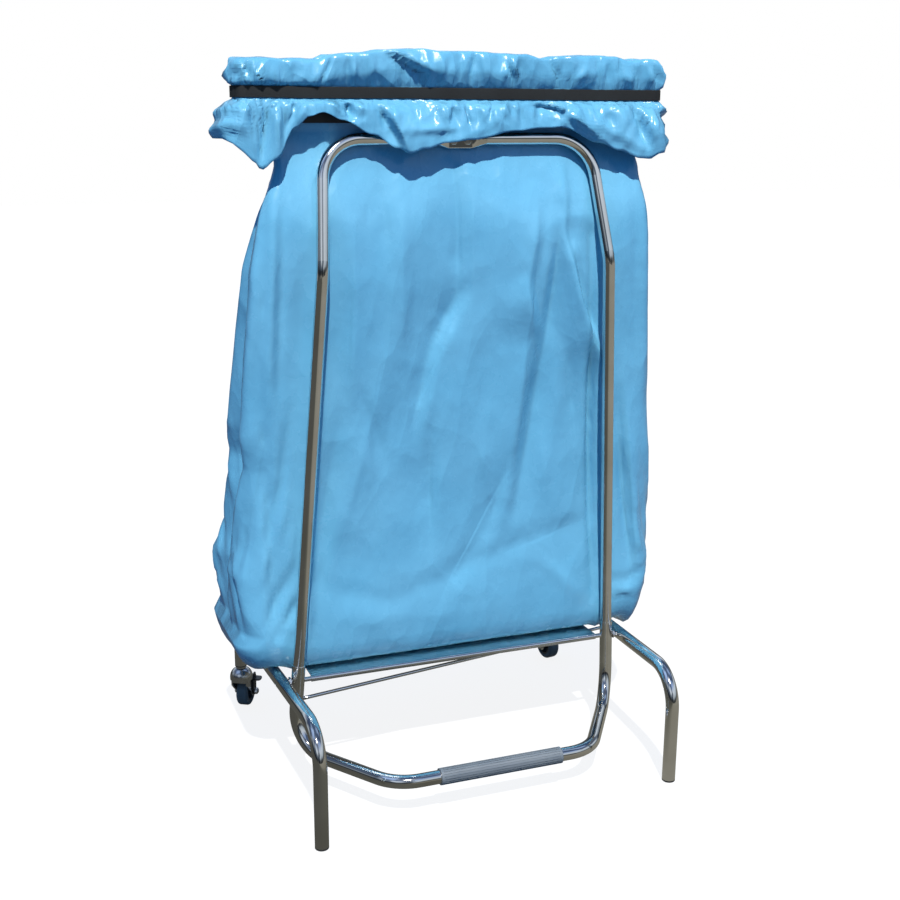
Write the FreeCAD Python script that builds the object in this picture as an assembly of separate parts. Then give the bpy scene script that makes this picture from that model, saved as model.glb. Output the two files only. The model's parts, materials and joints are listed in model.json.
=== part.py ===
import FreeCAD, Part
import math
import os

# Pedal-operated bag holder: a rear frame on two casters, two front legs, a tilting front frame with a
# pedal bar, two mouth bands (jaws), a shelf and a film bag held by a rubber strap.
# Millimetres. X to the right, Y to the rear, Z up; the floor is z = 0 and the axle is y = 0 while
# building. At the end every piece is moved so that the origin is under the middle of the object.

os.makedirs("parts", exist_ok=True)
V = FreeCAD.Vector

# Tubes
leg_tube_d = 20.0
tube_wall = 1.0
sleeve_clearance = 0.1
sleeve_length = 45.0
sleeve_shoulder = 3.0

# Front legs and side tubes
leg_x = 273.0
leg_y = -189.7
side_corner_z = 174.6
leg_bend_r = 54.7
sleeve_seam_y = 12.0

# Rear frame
upright_x = 291.0
upright_y = 268.0
side_rear_z = 152.3
upright_bottom_z = 81.5
upright_bend_z = 185.0
upright_bend_r = 90.0
saddle_gap = 0.1
saddle_setback = 4.0

# Tilting front frame
pivot_x = 256.3
front_seam_height = 25.6
kink_x = 216.0
kink_y = -39.5
kink_drop = 172.3
kink_r = 76.0
top_corner_x = 200.4
top_y = 9.3
top_z = 949.9
top_corner_r = 60.0

# Pedal loop
pedal_heel_z = 53.5
pedal_heel_r = 57.5
pedal_corner_x = 154.4
pedal_bar_y = -159.8
pedal_bar_z = 58.4
pedal_corner_r = 65.8

# Pedal grip
grip_length = 191.5
grip_offset = 7.0
grip_wall = 2.2
grip_clearance = 0.1
grip_ribs = 20
grip_groove_w = 1.6
grip_groove_depth = 0.8
grip_end_band = 4.0

# Pressed flat middle of both top tubes
flat_half = 17.5
flat_taper = 20.0
flat_height = 26.5
flat_thickness = 3.0
screw_spacing = 21.0
screw_drop = 3.5
screw_d = 5.0
screw_clearance = 0.15
screw_head_d = 9.5
screw_head_h = 2.6
screw_head_round = 1.1
screw_end = 1.0
nut_flats = 8.0
nut_h = 4.0

# Jaws
jaw_half_width = 316.0
jaw_half_depth = 13.2
jaw_sheet = 2.0
jaw_rise = 21.1
jaw_height = 81.0
jaw_corner_r = 12.0
jaw_gap = 0.4
jaw_tab_w = 35.0
jaw_tab_drop = 11.9
jaw_seat = 0.1

# Axle, spacers and shelf rod
axle_d = 7.0
axle_clearance = 0.1
axle_recess = 0.6
spacer_flats = 12.0
spacer_clearance = 0.3

# Shelf
shelf_half_width = 236.0
shelf_sheet = 1.0
shelf_depth = 225.0
hem_clearance = 0.2

# Return spring rod
spring_rod_d = 5.5
spring_rod_drop = 32.0
spring_rod_right_y = 35.0
spring_rod_clearance = 0.3
spring_rod_insert = 5.0

# Feet
foot_flange_h = 3.0
foot_plug_h = 15.0
foot_round = 1.2

# Casters
wheel_d = 50.0
wheel_w = 20.0
tyre_inner_d = 35.2
tyre_round = 4.5
core_fit = 0.1
hub_d = 15.0
hub_length = 22.4
core_web = 5.0
rim_wall = 3.0
rim_setback = 1.0
caster_trail = 19.6
wheel_bolt_d = 6.0
wheel_bolt_clearance = 0.1
fork_gap = 23.0
fork_sheet = 2.5
fork_boss_r = 8.5
fork_crown_z = 53.0
fork_crown_h = 3.0
fork_front = 15.0
fork_back = 17.0
fork_corner_r = 6.0
fork_arm_inset = 3.0
fork_arm_shoulder = 6.0
dome_r = 19.0
dome_rim_h = 5.0
dome_h = 20.0
dome_top_r = 9.0
dome_waist_r = 15.8
dome_waist_share = 0.62
stem_d = 10.0
stem_clearance = 0.1
stem_head_d = 17.0
stem_head_h = 3.0
stem_length_in_tube = 30.0
plug_flange_h = 1.5
plug_length = 32.0
swivel_gap = 0.3
bolt_flats = 10.0
bolt_head_h = 4.0
bolt_end = 1.5
lever_sheet = 2.5
lever_pedal_reach = 14.0
lever_pedal_z = 50.0
lever_pedal_w = 16.0
lever_top_z = 58.0
lever_foot_w = 12.8
lever_head_w = 9.6
lever_corner_r = 4.8
left_heading = -30.0
right_heading = 8.5

# Strap
strap_h = 15.0
strap_t = 1.8
strap_rise = 61.1
strap_gap = 0.3

# Bag: film, floor and the folds of its bottom over the side tubes
film = 0.8
film_gap = 0.5
bag_tube_gap = 1.0
bag_floor_gap = 0.3
bag_front_y = 50.0
bag_bottom_half_w = 235.0
bag_bottom_rear_in = 14.0
bag_bottom_r = 50.0
sill_rise = 1.0
sill_over_tube = 3.2
sill_front_in = 32.0
lobe_gap = 10.0
lobe_start_gap = 7.0
lobe_end_gap = 17.0
lobe_top_drop = 7.0
lobe_w = 12.0
lobe_h = 13.0
lobe_rise = 5.0
lobe_front_in = 22.0
rear_lobe_left = 42.0
rear_lobe_right = 12.0
rear_lobe_start_y = 90.0
rear_lobe_end_y = 225.0
lip_w = 33.0
lip_h = 10.0
lip_rise = 13.0
lip_front_in = 12.0
lip_rear_out = 4.0
lip_lobe_share = 0.4
inner_floor_w = 300.0
inner_floor_rise = 12.0
wall_low_rise = 55.0

# Bag walls: share of the height from the lowest level to the neck, left and right half widths, corner radius
bag_levels = [
    (0.00, 328.0, 345.0, 58.0),
    (0.09, 337.0, 346.0, 58.0),
    (0.18, 334.0, 341.0, 56.0),
    (0.27, 328.0, 336.0, 54.0),
    (0.37, 317.0, 330.0, 52.0),
    (0.46, 325.0, 325.0, 50.0),
    (0.56, 317.0, 316.0, 45.0),
    (0.66, 312.0, 308.0, 40.0),
    (0.76, 308.0, 301.0, 34.0),
    (0.85, 294.0, 298.0, 26.0),
    (0.93, 279.0, 293.0, 20.0),
]
side_gusset_depth = 15.0
side_gusset_fade = 0.12
tube_hold = 13.0
fold_fade = 55.0

# Folds of the front wall: x and share of the height at both ends, depth (minus is a valley), half width
bag_folds = [
    (150, 0.87, 200, 0.56, 11, 26),
    (110, 0.85, 92, 0.50, -7, 24),
    (-20, 0.72, -52, 0.58, 6, 24),
    (-172, 0.95, -180, 0.55, -5, 24),
    (-110, 0.95, -125, 0.66, 4, 26),
    (-42, 0.95, -50, 0.76, -5, 24),
    (10, 0.95, 10, 0.74, 4, 24),
    (88, 0.47, 78, 0.22, -5, 26),
    (78, 0.22, -25, 0.05, -9, 28),
    (50, 0.27, -15, 0.12, 5, 28),
    (219, 0.22, 110, 0.15, -8, 26),
    (-225, 0.10, -62, 0.08, -7, 26),
    (-190, 0.26, -120, 0.14, -6, 30),
    (-215, 0.48, -160, 0.28, 5, 34),
    (-100, 0.40, -165, 0.25, -4, 32),
]

# Bag neck and mouth
neck_half_depth = 4.5
neck_half_w = 280.0
neck_entry_drop = 24.0
neck_entry_half_w = 276.0
neck_throat_drop = 4.0
neck_throat_half_w = 300.0
neck_spread = 2.0
mouth_entry_rise = 12.0
corner_relief = 0.5

# Film turned over the jaws
collar_bunch = 2.4
collar_hold = 14.0
crown_shoulder = 0.5
crown_slope = 0.4
gather_drop = 8.0
gather_bulge = 4.0
gather_gap = 3.0
skirt_break_drop = 4.0
skirt_knee_drop = 27.0
skirt_knee_flare = 9.0
skirt_knee_fold = 0.5
skirt_lean = 0.35

# x, rise of the film above the jaws, and depth of the gathers above the strap
crown_rows = [
    (-316, 0.0, 0.0), (-290, 1.0, 3.0), (-254, 0.5, -3.0), (-218, 1.0, 2.0), (-181, 9.0, -3.0), (-145, 12.0, 3.0),
    (-109, 15.0, -3.0), (-72, 17.0, 4.0), (-36, 17.0, -1.0), (0, 17.0, 1.0), (36, 16.0, 3.0), (72, 15.0, -3.0),
    (109, 13.0, 2.0), (145, 11.0, -3.0), (181, 13.0, 2.0), (217, 14.0, -2.0), (254, 11.0, 3.0), (290, 8.0, -3.0),
    (316, 0.0, 0.0),
]

# x, height of the skirt's edge from the jaws' lower edge, and depth of its folds
front_skirt = [
    (-320, -18.0, 8.0), (-290, -59.0, -4.0), (-254, -21.0, 6.0), (-218, 6.0, -3.0), (-181, 5.0, -3.0),
    (-145, -11.0, 1.0), (-109, -26.0, -1.0), (-72, -37.0, 7.0), (-36, -28.0, 0.0), (0, -23.0, -2.0),
    (36, -18.0, 3.0), (72, -11.0, -2.0), (109, -8.0, 3.0), (145, -9.0, -3.0), (181, -18.0, 5.0), (217, -31.0, 2.0),
    (254, -44.0, -3.0), (290, -48.0, 6.0), (320, -33.0, 8.0),
]
rear_skirt = [
    (-320, -18.0, 8.0), (-240, -41.0, -4.0), (-150, -12.0, 4.0), (-60, -43.0, 6.0), (40, -19.0, -3.0),
    (140, -39.0, 5.0), (230, -12.0, -3.0), (320, -33.0, 8.0),
]

# Derived from the driving dimensions
leg_r = leg_tube_d / 2
bore_d = leg_tube_d - 2 * tube_wall
sleeve_d = bore_d - 2 * sleeve_clearance
side_run = upright_y - leg_y


def side_point(y, side=1):
    """Point on the centre line of a side tube at depth y."""
    share = (y - leg_y) / side_run
    x = leg_x + (upright_x - leg_x) * share
    z = side_corner_z + (side_rear_z - side_corner_z) * share
    return V(side * x, y, z)


axle_z = side_point(0).z
axle_side_x = side_point(0).x
side_slope = (side_corner_z - side_rear_z) / side_run
kink_z = top_z - kink_drop
jaw_bottom_z = top_z + jaw_rise
jaw_tab_bottom_z = top_z - jaw_tab_drop
strap_z = top_z + strap_rise
jaw_front_y = top_y + flat_thickness / 2 + jaw_seat
mouth_y = jaw_front_y + jaw_half_depth
rear_top_y = 2 * mouth_y - top_y


def mirrored(points):
    """The same points on the other side of the middle plane, in reverse order."""
    return [V(-p.x, p.y, p.z) for p in reversed(points)]


def turned(wire_or_shape, side):
    """A right-hand shape as it is, or its mirror image for the left side."""
    if side > 0:
        return wire_or_shape
    return wire_or_shape.mirror(V(0, 0, 0), V(1, 0, 0))


def ring_face(centre, direction, outer_d, inner_d):
    """Round face across a tube, with a hole if inner_d is not zero."""
    outer = Part.Wire(Part.makeCircle(outer_d / 2, centre, direction))
    if inner_d <= 0:
        return Part.Face(outer)
    inner = Part.Wire(Part.makeCircle(inner_d / 2, centre, direction))
    return Part.Face(outer).cut(Part.Face(inner)).Faces[0]


def bent_tube(points, radii, outer_d, inner_d):
    """Tube along straight runs joined by round bends; radii belong to the inner points."""
    pieces = []
    start = points[0]
    for i in range(1, len(points)):
        corner = points[i]
        run = (corner - start).normalize()
        if i == len(points) - 1:
            pieces.append(ring_face(start, run, outer_d, inner_d).extrude(corner - start))
            break
        leave = (points[i + 1] - corner).normalize()
        turn = run.getAngle(leave)
        reach = radii[i - 1] * math.tan(turn / 2)
        bend_start = corner - run * reach
        bend_end = corner + leave * reach
        pieces.append(ring_face(start, run, outer_d, inner_d).extrude(bend_start - start))
        axis = run.cross(leave).normalize()
        centre = bend_start + axis.cross(run) * radii[i - 1]
        bend = ring_face(bend_start, run, outer_d, inner_d).revolve(centre, axis, math.degrees(turn))
        pieces.append(bend)
        start = bend_end
    return pieces[0].fuse(pieces[1:]).removeSplitter()


def rod(start, end, diameter):
    """Round bar between two points."""
    return Part.makeCylinder(diameter / 2, (end - start).Length, start, end - start)


def hexagon(centre, direction, flats, height):
    """Hexagonal block across flats, built on the X direction and height along it."""
    corners = []
    radius = flats / math.sqrt(3)
    for k in range(7):
        angle = math.radians(60 * k)
        corners.append(V(0, radius * math.cos(angle), radius * math.sin(angle)))
    block = Part.Face(Part.makePolygon(corners)).extrude(V(height, 0, 0))
    block.Placement = FreeCAD.Placement(centre, FreeCAD.Rotation(V(1, 0, 0), direction))
    return block


def rounded_outline(half_w, front_y, back_y, radius, z, slope=0.0):
    """Closed rounded rectangle seen from above; slope lowers it towards the rear."""
    def at(x, y):
        return V(x, y, z - slope * y)

    def arc(cx, cy, start_deg):
        spots = []
        for step in (0, 45, 90):
            angle = math.radians(start_deg + step)
            spots.append(at(cx + radius * math.cos(angle), cy + radius * math.sin(angle)))
        return Part.Arc(*spots).toShape()

    w = half_w - radius
    f = front_y + radius
    b = back_y - radius
    edges = [
        arc(w, b, 0), Part.makeLine(at(w, back_y), at(-w, back_y)),
        arc(-w, b, 90), Part.makeLine(at(-half_w, b), at(-half_w, f)),
        arc(-w, f, 180), Part.makeLine(at(-w, front_y), at(w, front_y)),
        arc(w, f, 270), Part.makeLine(at(half_w, f), at(half_w, b)),
    ]
    return Part.Wire(edges)


def prism(outline, height):
    """Solid over a flat outline."""
    return Part.Face(outline).extrude(V(0, 0, height))


def put(name, shape):
    """Writes one piece with the origin under the middle of the object."""
    moved = shape.copy()
    moved.translate(V(0, -middle_y, 0))
    moved.exportStep("parts/" + name + ".step")


def wheel_back(heading):
    """Rearmost point of a wheel whose caster is turned to the given heading, in degrees."""
    angle = math.radians(heading)
    rim = wheel_r - tyre_round
    swung = caster_trail * math.cos(angle) + abs(math.sin(angle)) * (wheel_w / 2 - tyre_round)
    return upright_y + swung + rim * math.cos(angle) + tyre_round


# The origin lies midway between the front of the feet and the rearmost wheel.
wheel_r = wheel_d / 2
wheel_back_y = max(wheel_back(left_heading), wheel_back(right_heading))
middle_y = (leg_y - leg_r + wheel_back_y) / 2


def flat_oval(x, y):
    """Outline of the pressed stretch across the tube at x: two round ends and two flats."""
    r = flat_thickness / 2
    half = flat_height / 2 - r
    top = Part.Arc(V(x, y - r, top_z + half), V(x, y, top_z + half + r), V(x, y + r, top_z + half))
    low = Part.Arc(V(x, y + r, top_z - half), V(x, y, top_z - half - r), V(x, y - r, top_z - half))
    down = Part.makeLine(V(x, y + r, top_z + half), V(x, y + r, top_z - half))
    up = Part.makeLine(V(x, y - r, top_z - half), V(x, y - r, top_z + half))
    return Part.Wire([top.toShape(), down, low.toShape(), up])


def quartered_circle(x, y, diameter):
    """Circle across the tube at x, cut into four arcs that match the sides of the flat outline."""
    def at(degrees):
        angle = math.radians(degrees)
        return V(x, y - diameter / 2 * math.cos(angle), top_z + diameter / 2 * math.sin(angle))

    arcs = []
    for middle in (90, 180, 270, 360):
        arcs.append(Part.Arc(at(middle - 45), at(middle), at(middle + 45)).toShape())
    return Part.Wire(arcs)


def pressed_middle(y, tube_d):
    """Flat pressed stretch in the middle of a top tube, with its two tapers and screw holes."""
    body = Part.Face(flat_oval(-flat_half, y)).extrude(V(2 * flat_half, 0, 0))
    for side in (-1, 1):
        edge = flat_oval(side * flat_half, y)
        end = quartered_circle(side * (flat_half + flat_taper), y, tube_d)
        body = body.fuse(Part.makeLoft([edge, end], True, True))
    hole_d = screw_d + 2 * screw_clearance
    for side in (-1, 1):
        spot = V(side * screw_spacing / 2, y - flat_height, top_z - screw_drop)
        body = body.cut(rod(spot, spot + V(0, 2 * flat_height, 0), hole_d))
    return body


def top_frame(half_points, radii, tube_d, y):
    """Bent tube frame whose top run is pressed flat in the middle."""
    bore = tube_d - 2 * tube_wall
    end = V(flat_half + flat_taper, y, top_z)
    half = bent_tube(half_points + [end], radii, tube_d, bore)
    frame = pressed_middle(y, tube_d)
    for side in (-1, 1):
        frame = frame.fuse(turned(half, side))
    return frame.removeSplitter()


def jaw(front):
    """Mouth band: half of a rounded ring with a tab for the frame; front or rear."""
    outer = rounded_outline(jaw_half_width, jaw_front_y, jaw_front_y + 2 * jaw_half_depth,
                            jaw_corner_r, jaw_bottom_z)
    inner = rounded_outline(jaw_half_width - jaw_sheet, jaw_front_y + jaw_sheet,
                            jaw_front_y + 2 * jaw_half_depth - jaw_sheet,
                            jaw_corner_r - jaw_sheet, jaw_bottom_z)
    band = prism(outer, jaw_height).cut(prism(inner, jaw_height))
    keep = Part.makeBox(2 * jaw_half_width + 2, jaw_half_depth + 1 - jaw_gap / 2, jaw_height,
                        V(-jaw_half_width - 1, jaw_front_y - 1, jaw_bottom_z))
    tab = Part.makeBox(jaw_tab_w, jaw_sheet, jaw_bottom_z - jaw_tab_bottom_z + jaw_sheet,
                       V(-jaw_tab_w / 2, jaw_front_y, jaw_tab_bottom_z))
    band = band.common(keep).fuse(tab).removeSplitter()
    hole_d = screw_d + 2 * screw_clearance
    for side in (-1, 1):
        spot = V(side * screw_spacing / 2, jaw_front_y - 1, top_z - screw_drop)
        band = band.cut(rod(spot, spot + V(0, jaw_sheet + 2, 0), hole_d))
    if front:
        return band
    return band.mirror(V(0, mouth_y, 0), V(0, 1, 0))


def jaw_screws(front):
    """Two pan-head screws and two nuts that clamp a jaw's tab to the pressed tube."""
    screws = []
    nuts = []
    face_y = top_y - flat_thickness / 2
    nut_y = jaw_front_y + jaw_sheet + jaw_seat
    for side in (-1, 1):
        at = V(side * screw_spacing / 2, face_y, top_z - screw_drop)
        head = Part.makeCylinder(screw_head_d / 2, screw_head_h, at - V(0, screw_head_h, 0), V(0, 1, 0))
        rim = [e for e in head.Edges if abs(e.BoundBox.YMax - (face_y - screw_head_h)) < 0.01
               and e.Curve.TypeId == "Part::GeomCircle"]
        head = head.makeFillet(screw_head_round, rim)
        end = V(at.x, nut_y + nut_h + screw_end, at.z)
        screws.append(head.fuse(rod(at - V(0, screw_head_h / 2, 0), end, screw_d)).removeSplitter())
        block = hexagon(V(at.x, nut_y, at.z), V(0, 1, 0), nut_flats, nut_h)
        nuts.append(block.cut(rod(at, end, screw_d + 2 * screw_clearance)))
    groups = [Part.makeCompound(screws), Part.makeCompound(nuts)]
    if front:
        return groups
    return [g.mirror(V(0, mouth_y, 0), V(0, 1, 0)) for g in groups]


# Centre line of the front frame: it crosses the axle and leans forward up to its kink.
pivot = V(pivot_x, 0, axle_z)
kink = V(kink_x, kink_y, kink_z)
front_up = (kink - pivot).normalize()


def front_line(z):
    """Point of the straight lower run of the front frame at height z, on the right."""
    return pivot + front_up * ((z - axle_z) / front_up.z)


front_seam_z = axle_z + front_seam_height
front_top_corner = V(top_corner_x, top_y, top_z)
upper_tube_d = sleeve_d

# Centre line of the return spring rod, from inside the left front tube to the right side tube.
rod_left = front_line(axle_z - spring_rod_drop)
rod_left = V(-rod_left.x, rod_left.y, rod_left.z)
rod_right = side_point(spring_rod_right_y)
rod_dir = (rod_right - rod_left).normalize()


def cross_hole(shape, x, y, z, diameter, reach):
    """Drills through a tube along X around the given point."""
    return shape.cut(rod(V(x - reach, y, z), V(x + reach, y, z), diameter))


def front_upper_tube():
    low = front_line(front_seam_z - sleeve_length)
    frame = top_frame([low, kink, front_top_corner], [kink_r, top_corner_r], upper_tube_d, top_y)
    for side in (-1, 1):
        frame = cross_hole(frame, side * pivot_x, 0, axle_z, axle_d + 2 * axle_clearance, leg_tube_d)
    return frame


def pedal_tube():
    half = [front_line(front_seam_z), front_line(pedal_heel_z), V(pedal_corner_x, pedal_bar_y, pedal_bar_z)]
    radii = [pedal_heel_r, pedal_corner_r, pedal_corner_r, pedal_heel_r]
    tube = bent_tube(half + mirrored(half), radii, leg_tube_d, bore_d)
    for side in (-1, 1):
        tube = cross_hole(tube, side * pivot_x, 0, axle_z, axle_d + 2 * axle_clearance, leg_tube_d)
    hole_d = spring_rod_d + 2 * spring_rod_clearance
    return tube.cut(rod(rod_left, rod_left + rod_dir * leg_tube_d, hole_d))


def pedal_grip():
    inner = leg_tube_d + 2 * grip_clearance
    outer = inner + 2 * grip_wall
    start = V(grip_offset - grip_length / 2, pedal_bar_y, pedal_bar_z)
    grip = ring_face(start, V(1, 0, 0), outer, inner).extrude(V(grip_length, 0, 0))
    for k in range(grip_ribs):
        angle = 2 * math.pi * k / grip_ribs
        groove = Part.makeBox(grip_length - 2 * grip_end_band, grip_groove_w, 2 * grip_groove_depth,
                              V(grip_end_band, -grip_groove_w / 2, outer / 2 - grip_groove_depth))
        groove.rotate(V(0, 0, 0), V(1, 0, 0), math.degrees(angle))
        groove.translate(start)
        grip = grip.cut(groove)
    return grip


def front_leg(side):
    end = side_point(sleeve_seam_y)
    leg = bent_tube([V(leg_x, leg_y, foot_flange_h), V(leg_x, leg_y, side_corner_z), end], [leg_bend_r],
                    leg_tube_d, bore_d)
    leg = cross_hole(leg, axle_side_x, 0, axle_z, axle_d + 2 * axle_clearance, leg_tube_d)
    return turned(leg, side)


def foot_cap():
    cap = Part.makeCylinder(leg_r, foot_flange_h, V(leg_x, leg_y, 0))
    rim = [e for e in cap.Edges if e.Curve.TypeId == "Part::GeomCircle" and e.BoundBox.ZMax < 0.01]
    cap = cap.makeFillet(foot_round, rim)
    plug = Part.makeCylinder(sleeve_d / 2, foot_plug_h, V(leg_x, leg_y, foot_flange_h / 2))
    return cap.fuse(plug).removeSplitter()


def rear_side_tube(side):
    seam = side_point(sleeve_seam_y)
    upright = V(upright_x, upright_y, side_rear_z)
    along = (upright - seam).normalize()
    end = upright - along * saddle_setback
    tube = ring_face(seam, along, leg_tube_d, bore_d).extrude(end - seam)
    sleeve_start = seam - along * sleeve_length
    sleeve_bore = sleeve_d - 2 * tube_wall
    sleeve = ring_face(sleeve_start, along, sleeve_d, sleeve_bore).extrude(seam - sleeve_start)
    shoulder = ring_face(seam, along, leg_tube_d, sleeve_bore).extrude(along * sleeve_shoulder)
    tube = tube.fuse([sleeve, shoulder]).removeSplitter()
    saddle = rod(V(upright_x, upright_y, 0), V(upright_x, upright_y, 2 * side_rear_z),
                 leg_tube_d + 2 * saddle_gap)
    tube = tube.cut(saddle)
    tube = cross_hole(tube, axle_side_x, 0, axle_z, axle_d + 2 * axle_clearance, leg_tube_d)
    rear = side_point(shelf_depth)
    tube = cross_hole(tube, rear.x, rear.y, rear.z, axle_d + 2 * axle_clearance, leg_tube_d)
    if side > 0:
        hole_d = spring_rod_d + 2 * spring_rod_clearance
        tube = tube.cut(rod(rod_right - rod_dir * leg_tube_d, rod_right, hole_d))
        return tube
    return turned(tube, side)


def rear_frame_tube():
    low = V(upright_x, upright_y, upright_bottom_z)
    bend = V(upright_x, upright_y, upright_bend_z)
    corner = V(top_corner_x, rear_top_y, top_z)
    return top_frame([low, bend, corner], [upright_bend_r, top_corner_r], leg_tube_d, rear_top_y)


def cross_rod(y):
    """Round rod through both side tubes at depth y, ending just inside their outer faces."""
    spot = side_point(y)
    half = spot.x + leg_r - axle_recess
    return rod(V(-half, y, spot.z), V(half, y, spot.z), axle_d)


def axle_spacers():
    corner = spacer_flats / math.sqrt(3)
    front_lean = abs(front_up.x) / front_up.z
    side_spread = (upright_x - leg_x) / side_run
    inner = pivot_x + leg_r / front_up.z + front_lean * corner + spacer_clearance
    outer = axle_side_x - leg_r - side_spread * corner - spacer_clearance
    spacer = hexagon(V(inner, 0, axle_z), V(1, 0, 0), spacer_flats, outer - inner)
    spacer = cross_hole(spacer, inner, 0, axle_z, axle_d + 2 * axle_clearance, leg_tube_d)
    return Part.makeCompound([spacer, turned(spacer, -1)])


def bag_shelf():
    """Sheet with a rolled hem round the axle and another round the rear rod."""
    hem_inner = axle_d + 2 * hem_clearance
    hem_outer = hem_inner + 2 * shelf_sheet
    rear = side_point(shelf_depth)
    left = V(-shelf_half_width, 0, 0)
    width = V(2 * shelf_half_width, 0, 0)
    lift = V(0, side_slope, 1).normalize()
    front_top = V(0, 0, axle_z) + lift * (hem_outer / 2)
    rear_top = V(0, rear.y, rear.z) + lift * (hem_outer / 2)
    drop = lift * shelf_sheet
    corners = [front_top, rear_top, rear_top - drop, front_top - drop, front_top]
    sheet = Part.Face(Part.makePolygon([left + c for c in corners])).extrude(width)
    for spot in (V(0, 0, axle_z), V(0, rear.y, rear.z)):
        sheet = sheet.fuse(ring_face(left + spot, V(1, 0, 0), hem_outer, hem_inner).extrude(width))
    for spot in (V(0, 0, axle_z), V(0, rear.y, rear.z)):
        sheet = sheet.cut(rod(left + spot, left + spot + width, hem_inner))
    return sheet.removeSplitter()


def return_spring_rod():
    return rod(rod_left - rod_dir * spring_rod_insert, rod_right + rod_dir * spring_rod_insert, spring_rod_d)


# Casters are built with the stem on the Z axis, the wheel trailing towards +Y and its axle along X.
fork_half = fork_gap / 2 + fork_sheet
crown_top_z = fork_crown_z + fork_crown_h
dome_top_z = crown_top_z + dome_h
wheel_centre = V(0, caster_trail, wheel_r)
lever_start = fork_half + swivel_gap
nut_start = lever_start + lever_sheet + swivel_gap


def caster_plug():
    bore = stem_d + 2 * stem_clearance
    flange = ring_face(V(0, 0, upright_bottom_z - plug_flange_h), V(0, 0, 1), leg_tube_d, bore)
    body = ring_face(V(0, 0, upright_bottom_z), V(0, 0, 1), sleeve_d, bore)
    plug = flange.extrude(V(0, 0, plug_flange_h))
    return plug.fuse(body.extrude(V(0, 0, plug_length))).removeSplitter()


def caster_stem():
    head_z = fork_crown_z - swivel_gap - stem_head_h
    head = Part.makeCylinder(stem_head_d / 2, stem_head_h, V(0, 0, head_z))
    collar_z = dome_top_z + swivel_gap
    collar_h = upright_bottom_z - plug_flange_h - collar_z
    collar = Part.makeCylinder(stem_head_d / 2, collar_h, V(0, 0, collar_z))
    pin = rod(V(0, 0, head_z), V(0, 0, upright_bottom_z + stem_length_in_tube), stem_d)
    return head.fuse([collar, pin]).removeSplitter()


def caster_fork():
    crown = Part.makeBox(2 * fork_half, fork_front + fork_back, fork_crown_h,
                         V(-fork_half, -fork_front, fork_crown_z))
    uprights = [e for e in crown.Edges if abs(e.BoundBox.ZLength - fork_crown_h) < 0.01]
    crown = crown.makeFillet(fork_corner_r, uprights)
    dome = Part.makeCylinder(dome_r, dome_rim_h, V(0, 0, crown_top_z))
    cap_h = dome_h - dome_rim_h
    base = V(0, 0, crown_top_z + dome_rim_h)
    cap_profile = [Part.makeLine(base, base + V(dome_r, 0, 0)),
                   Part.Arc(base + V(dome_r, 0, 0), base + V(dome_waist_r, 0, cap_h * dome_waist_share),
                            base + V(dome_top_r, 0, cap_h)).toShape(),
                   Part.makeLine(base + V(dome_top_r, 0, cap_h), base + V(0, 0, cap_h)),
                   Part.makeLine(base + V(0, 0, cap_h), base)]
    cap = Part.Face(Part.Wire(cap_profile)).revolve(V(0, 0, 0), V(0, 0, 1), 360)
    fork = crown.fuse([dome, cap])
    arm_front = fork_arm_inset - fork_front
    arm_top = fork_crown_z + fork_crown_h / 2
    shoulder_z = fork_crown_z - fork_arm_shoulder
    arm_outline = [V(0, arm_front, arm_top),
                   V(0, fork_back, arm_top),
                   V(0, fork_back, shoulder_z),
                   V(0, caster_trail + fork_boss_r, wheel_r),
                   V(0, caster_trail - fork_boss_r, wheel_r),
                   V(0, arm_front, shoulder_z)]
    arm = Part.Face(Part.makePolygon(arm_outline + [arm_outline[0]])).extrude(V(fork_sheet, 0, 0))
    boss = rod(wheel_centre, wheel_centre + V(fork_sheet, 0, 0), 2 * fork_boss_r)
    arm = arm.fuse(boss)
    arm.translate(V(fork_gap / 2, 0, 0))
    for side in (-1, 1):
        fork = fork.fuse(turned(arm, side))
    bore = stem_d + 2 * stem_clearance
    fork = fork.cut(rod(V(0, 0, 0), V(0, 0, 2 * dome_top_z), bore))
    hole_d = wheel_bolt_d + 2 * wheel_bolt_clearance
    return cross_hole(fork, 0, wheel_centre.y, wheel_centre.z, hole_d, fork_gap).removeSplitter()


def wheel_core():
    rim_r = tyre_inner_d / 2 - core_fit
    hub = rod(wheel_centre - V(hub_length / 2, 0, 0), wheel_centre + V(hub_length / 2, 0, 0), hub_d)
    rim_half = wheel_w / 2 - rim_setback
    rim = ring_face(wheel_centre - V(rim_half, 0, 0), V(1, 0, 0), 2 * rim_r, 2 * (rim_r - rim_wall))
    rim = rim.extrude(V(2 * rim_half, 0, 0))
    web = rod(wheel_centre - V(core_web / 2, 0, 0), wheel_centre + V(core_web / 2, 0, 0), 2 * rim_r - rim_wall)
    core = hub.fuse([rim, web])
    hole_d = wheel_bolt_d + 2 * wheel_bolt_clearance
    return cross_hole(core, 0, wheel_centre.y, wheel_centre.z, hole_d, hub_length).removeSplitter()


def wheel_tyre():
    tyre = ring_face(wheel_centre - V(wheel_w / 2, 0, 0), V(1, 0, 0), wheel_d, tyre_inner_d)
    tyre = tyre.extrude(V(wheel_w, 0, 0))
    shoulders = [e for e in tyre.Edges if e.Curve.TypeId == "Part::GeomCircle"
                 and abs(e.Curve.Radius - wheel_r) < 0.01]
    return tyre.makeFillet(tyre_round, shoulders)


def wheel_bolt():
    head = hexagon(wheel_centre - V(fork_half + bolt_head_h, 0, 0), V(1, 0, 0), bolt_flats, bolt_head_h)
    end = wheel_centre + V(nut_start + bolt_head_h + bolt_end, 0, 0)
    return head.fuse(rod(wheel_centre - V(fork_half + bolt_head_h / 2, 0, 0), end, wheel_bolt_d)).removeSplitter()


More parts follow.
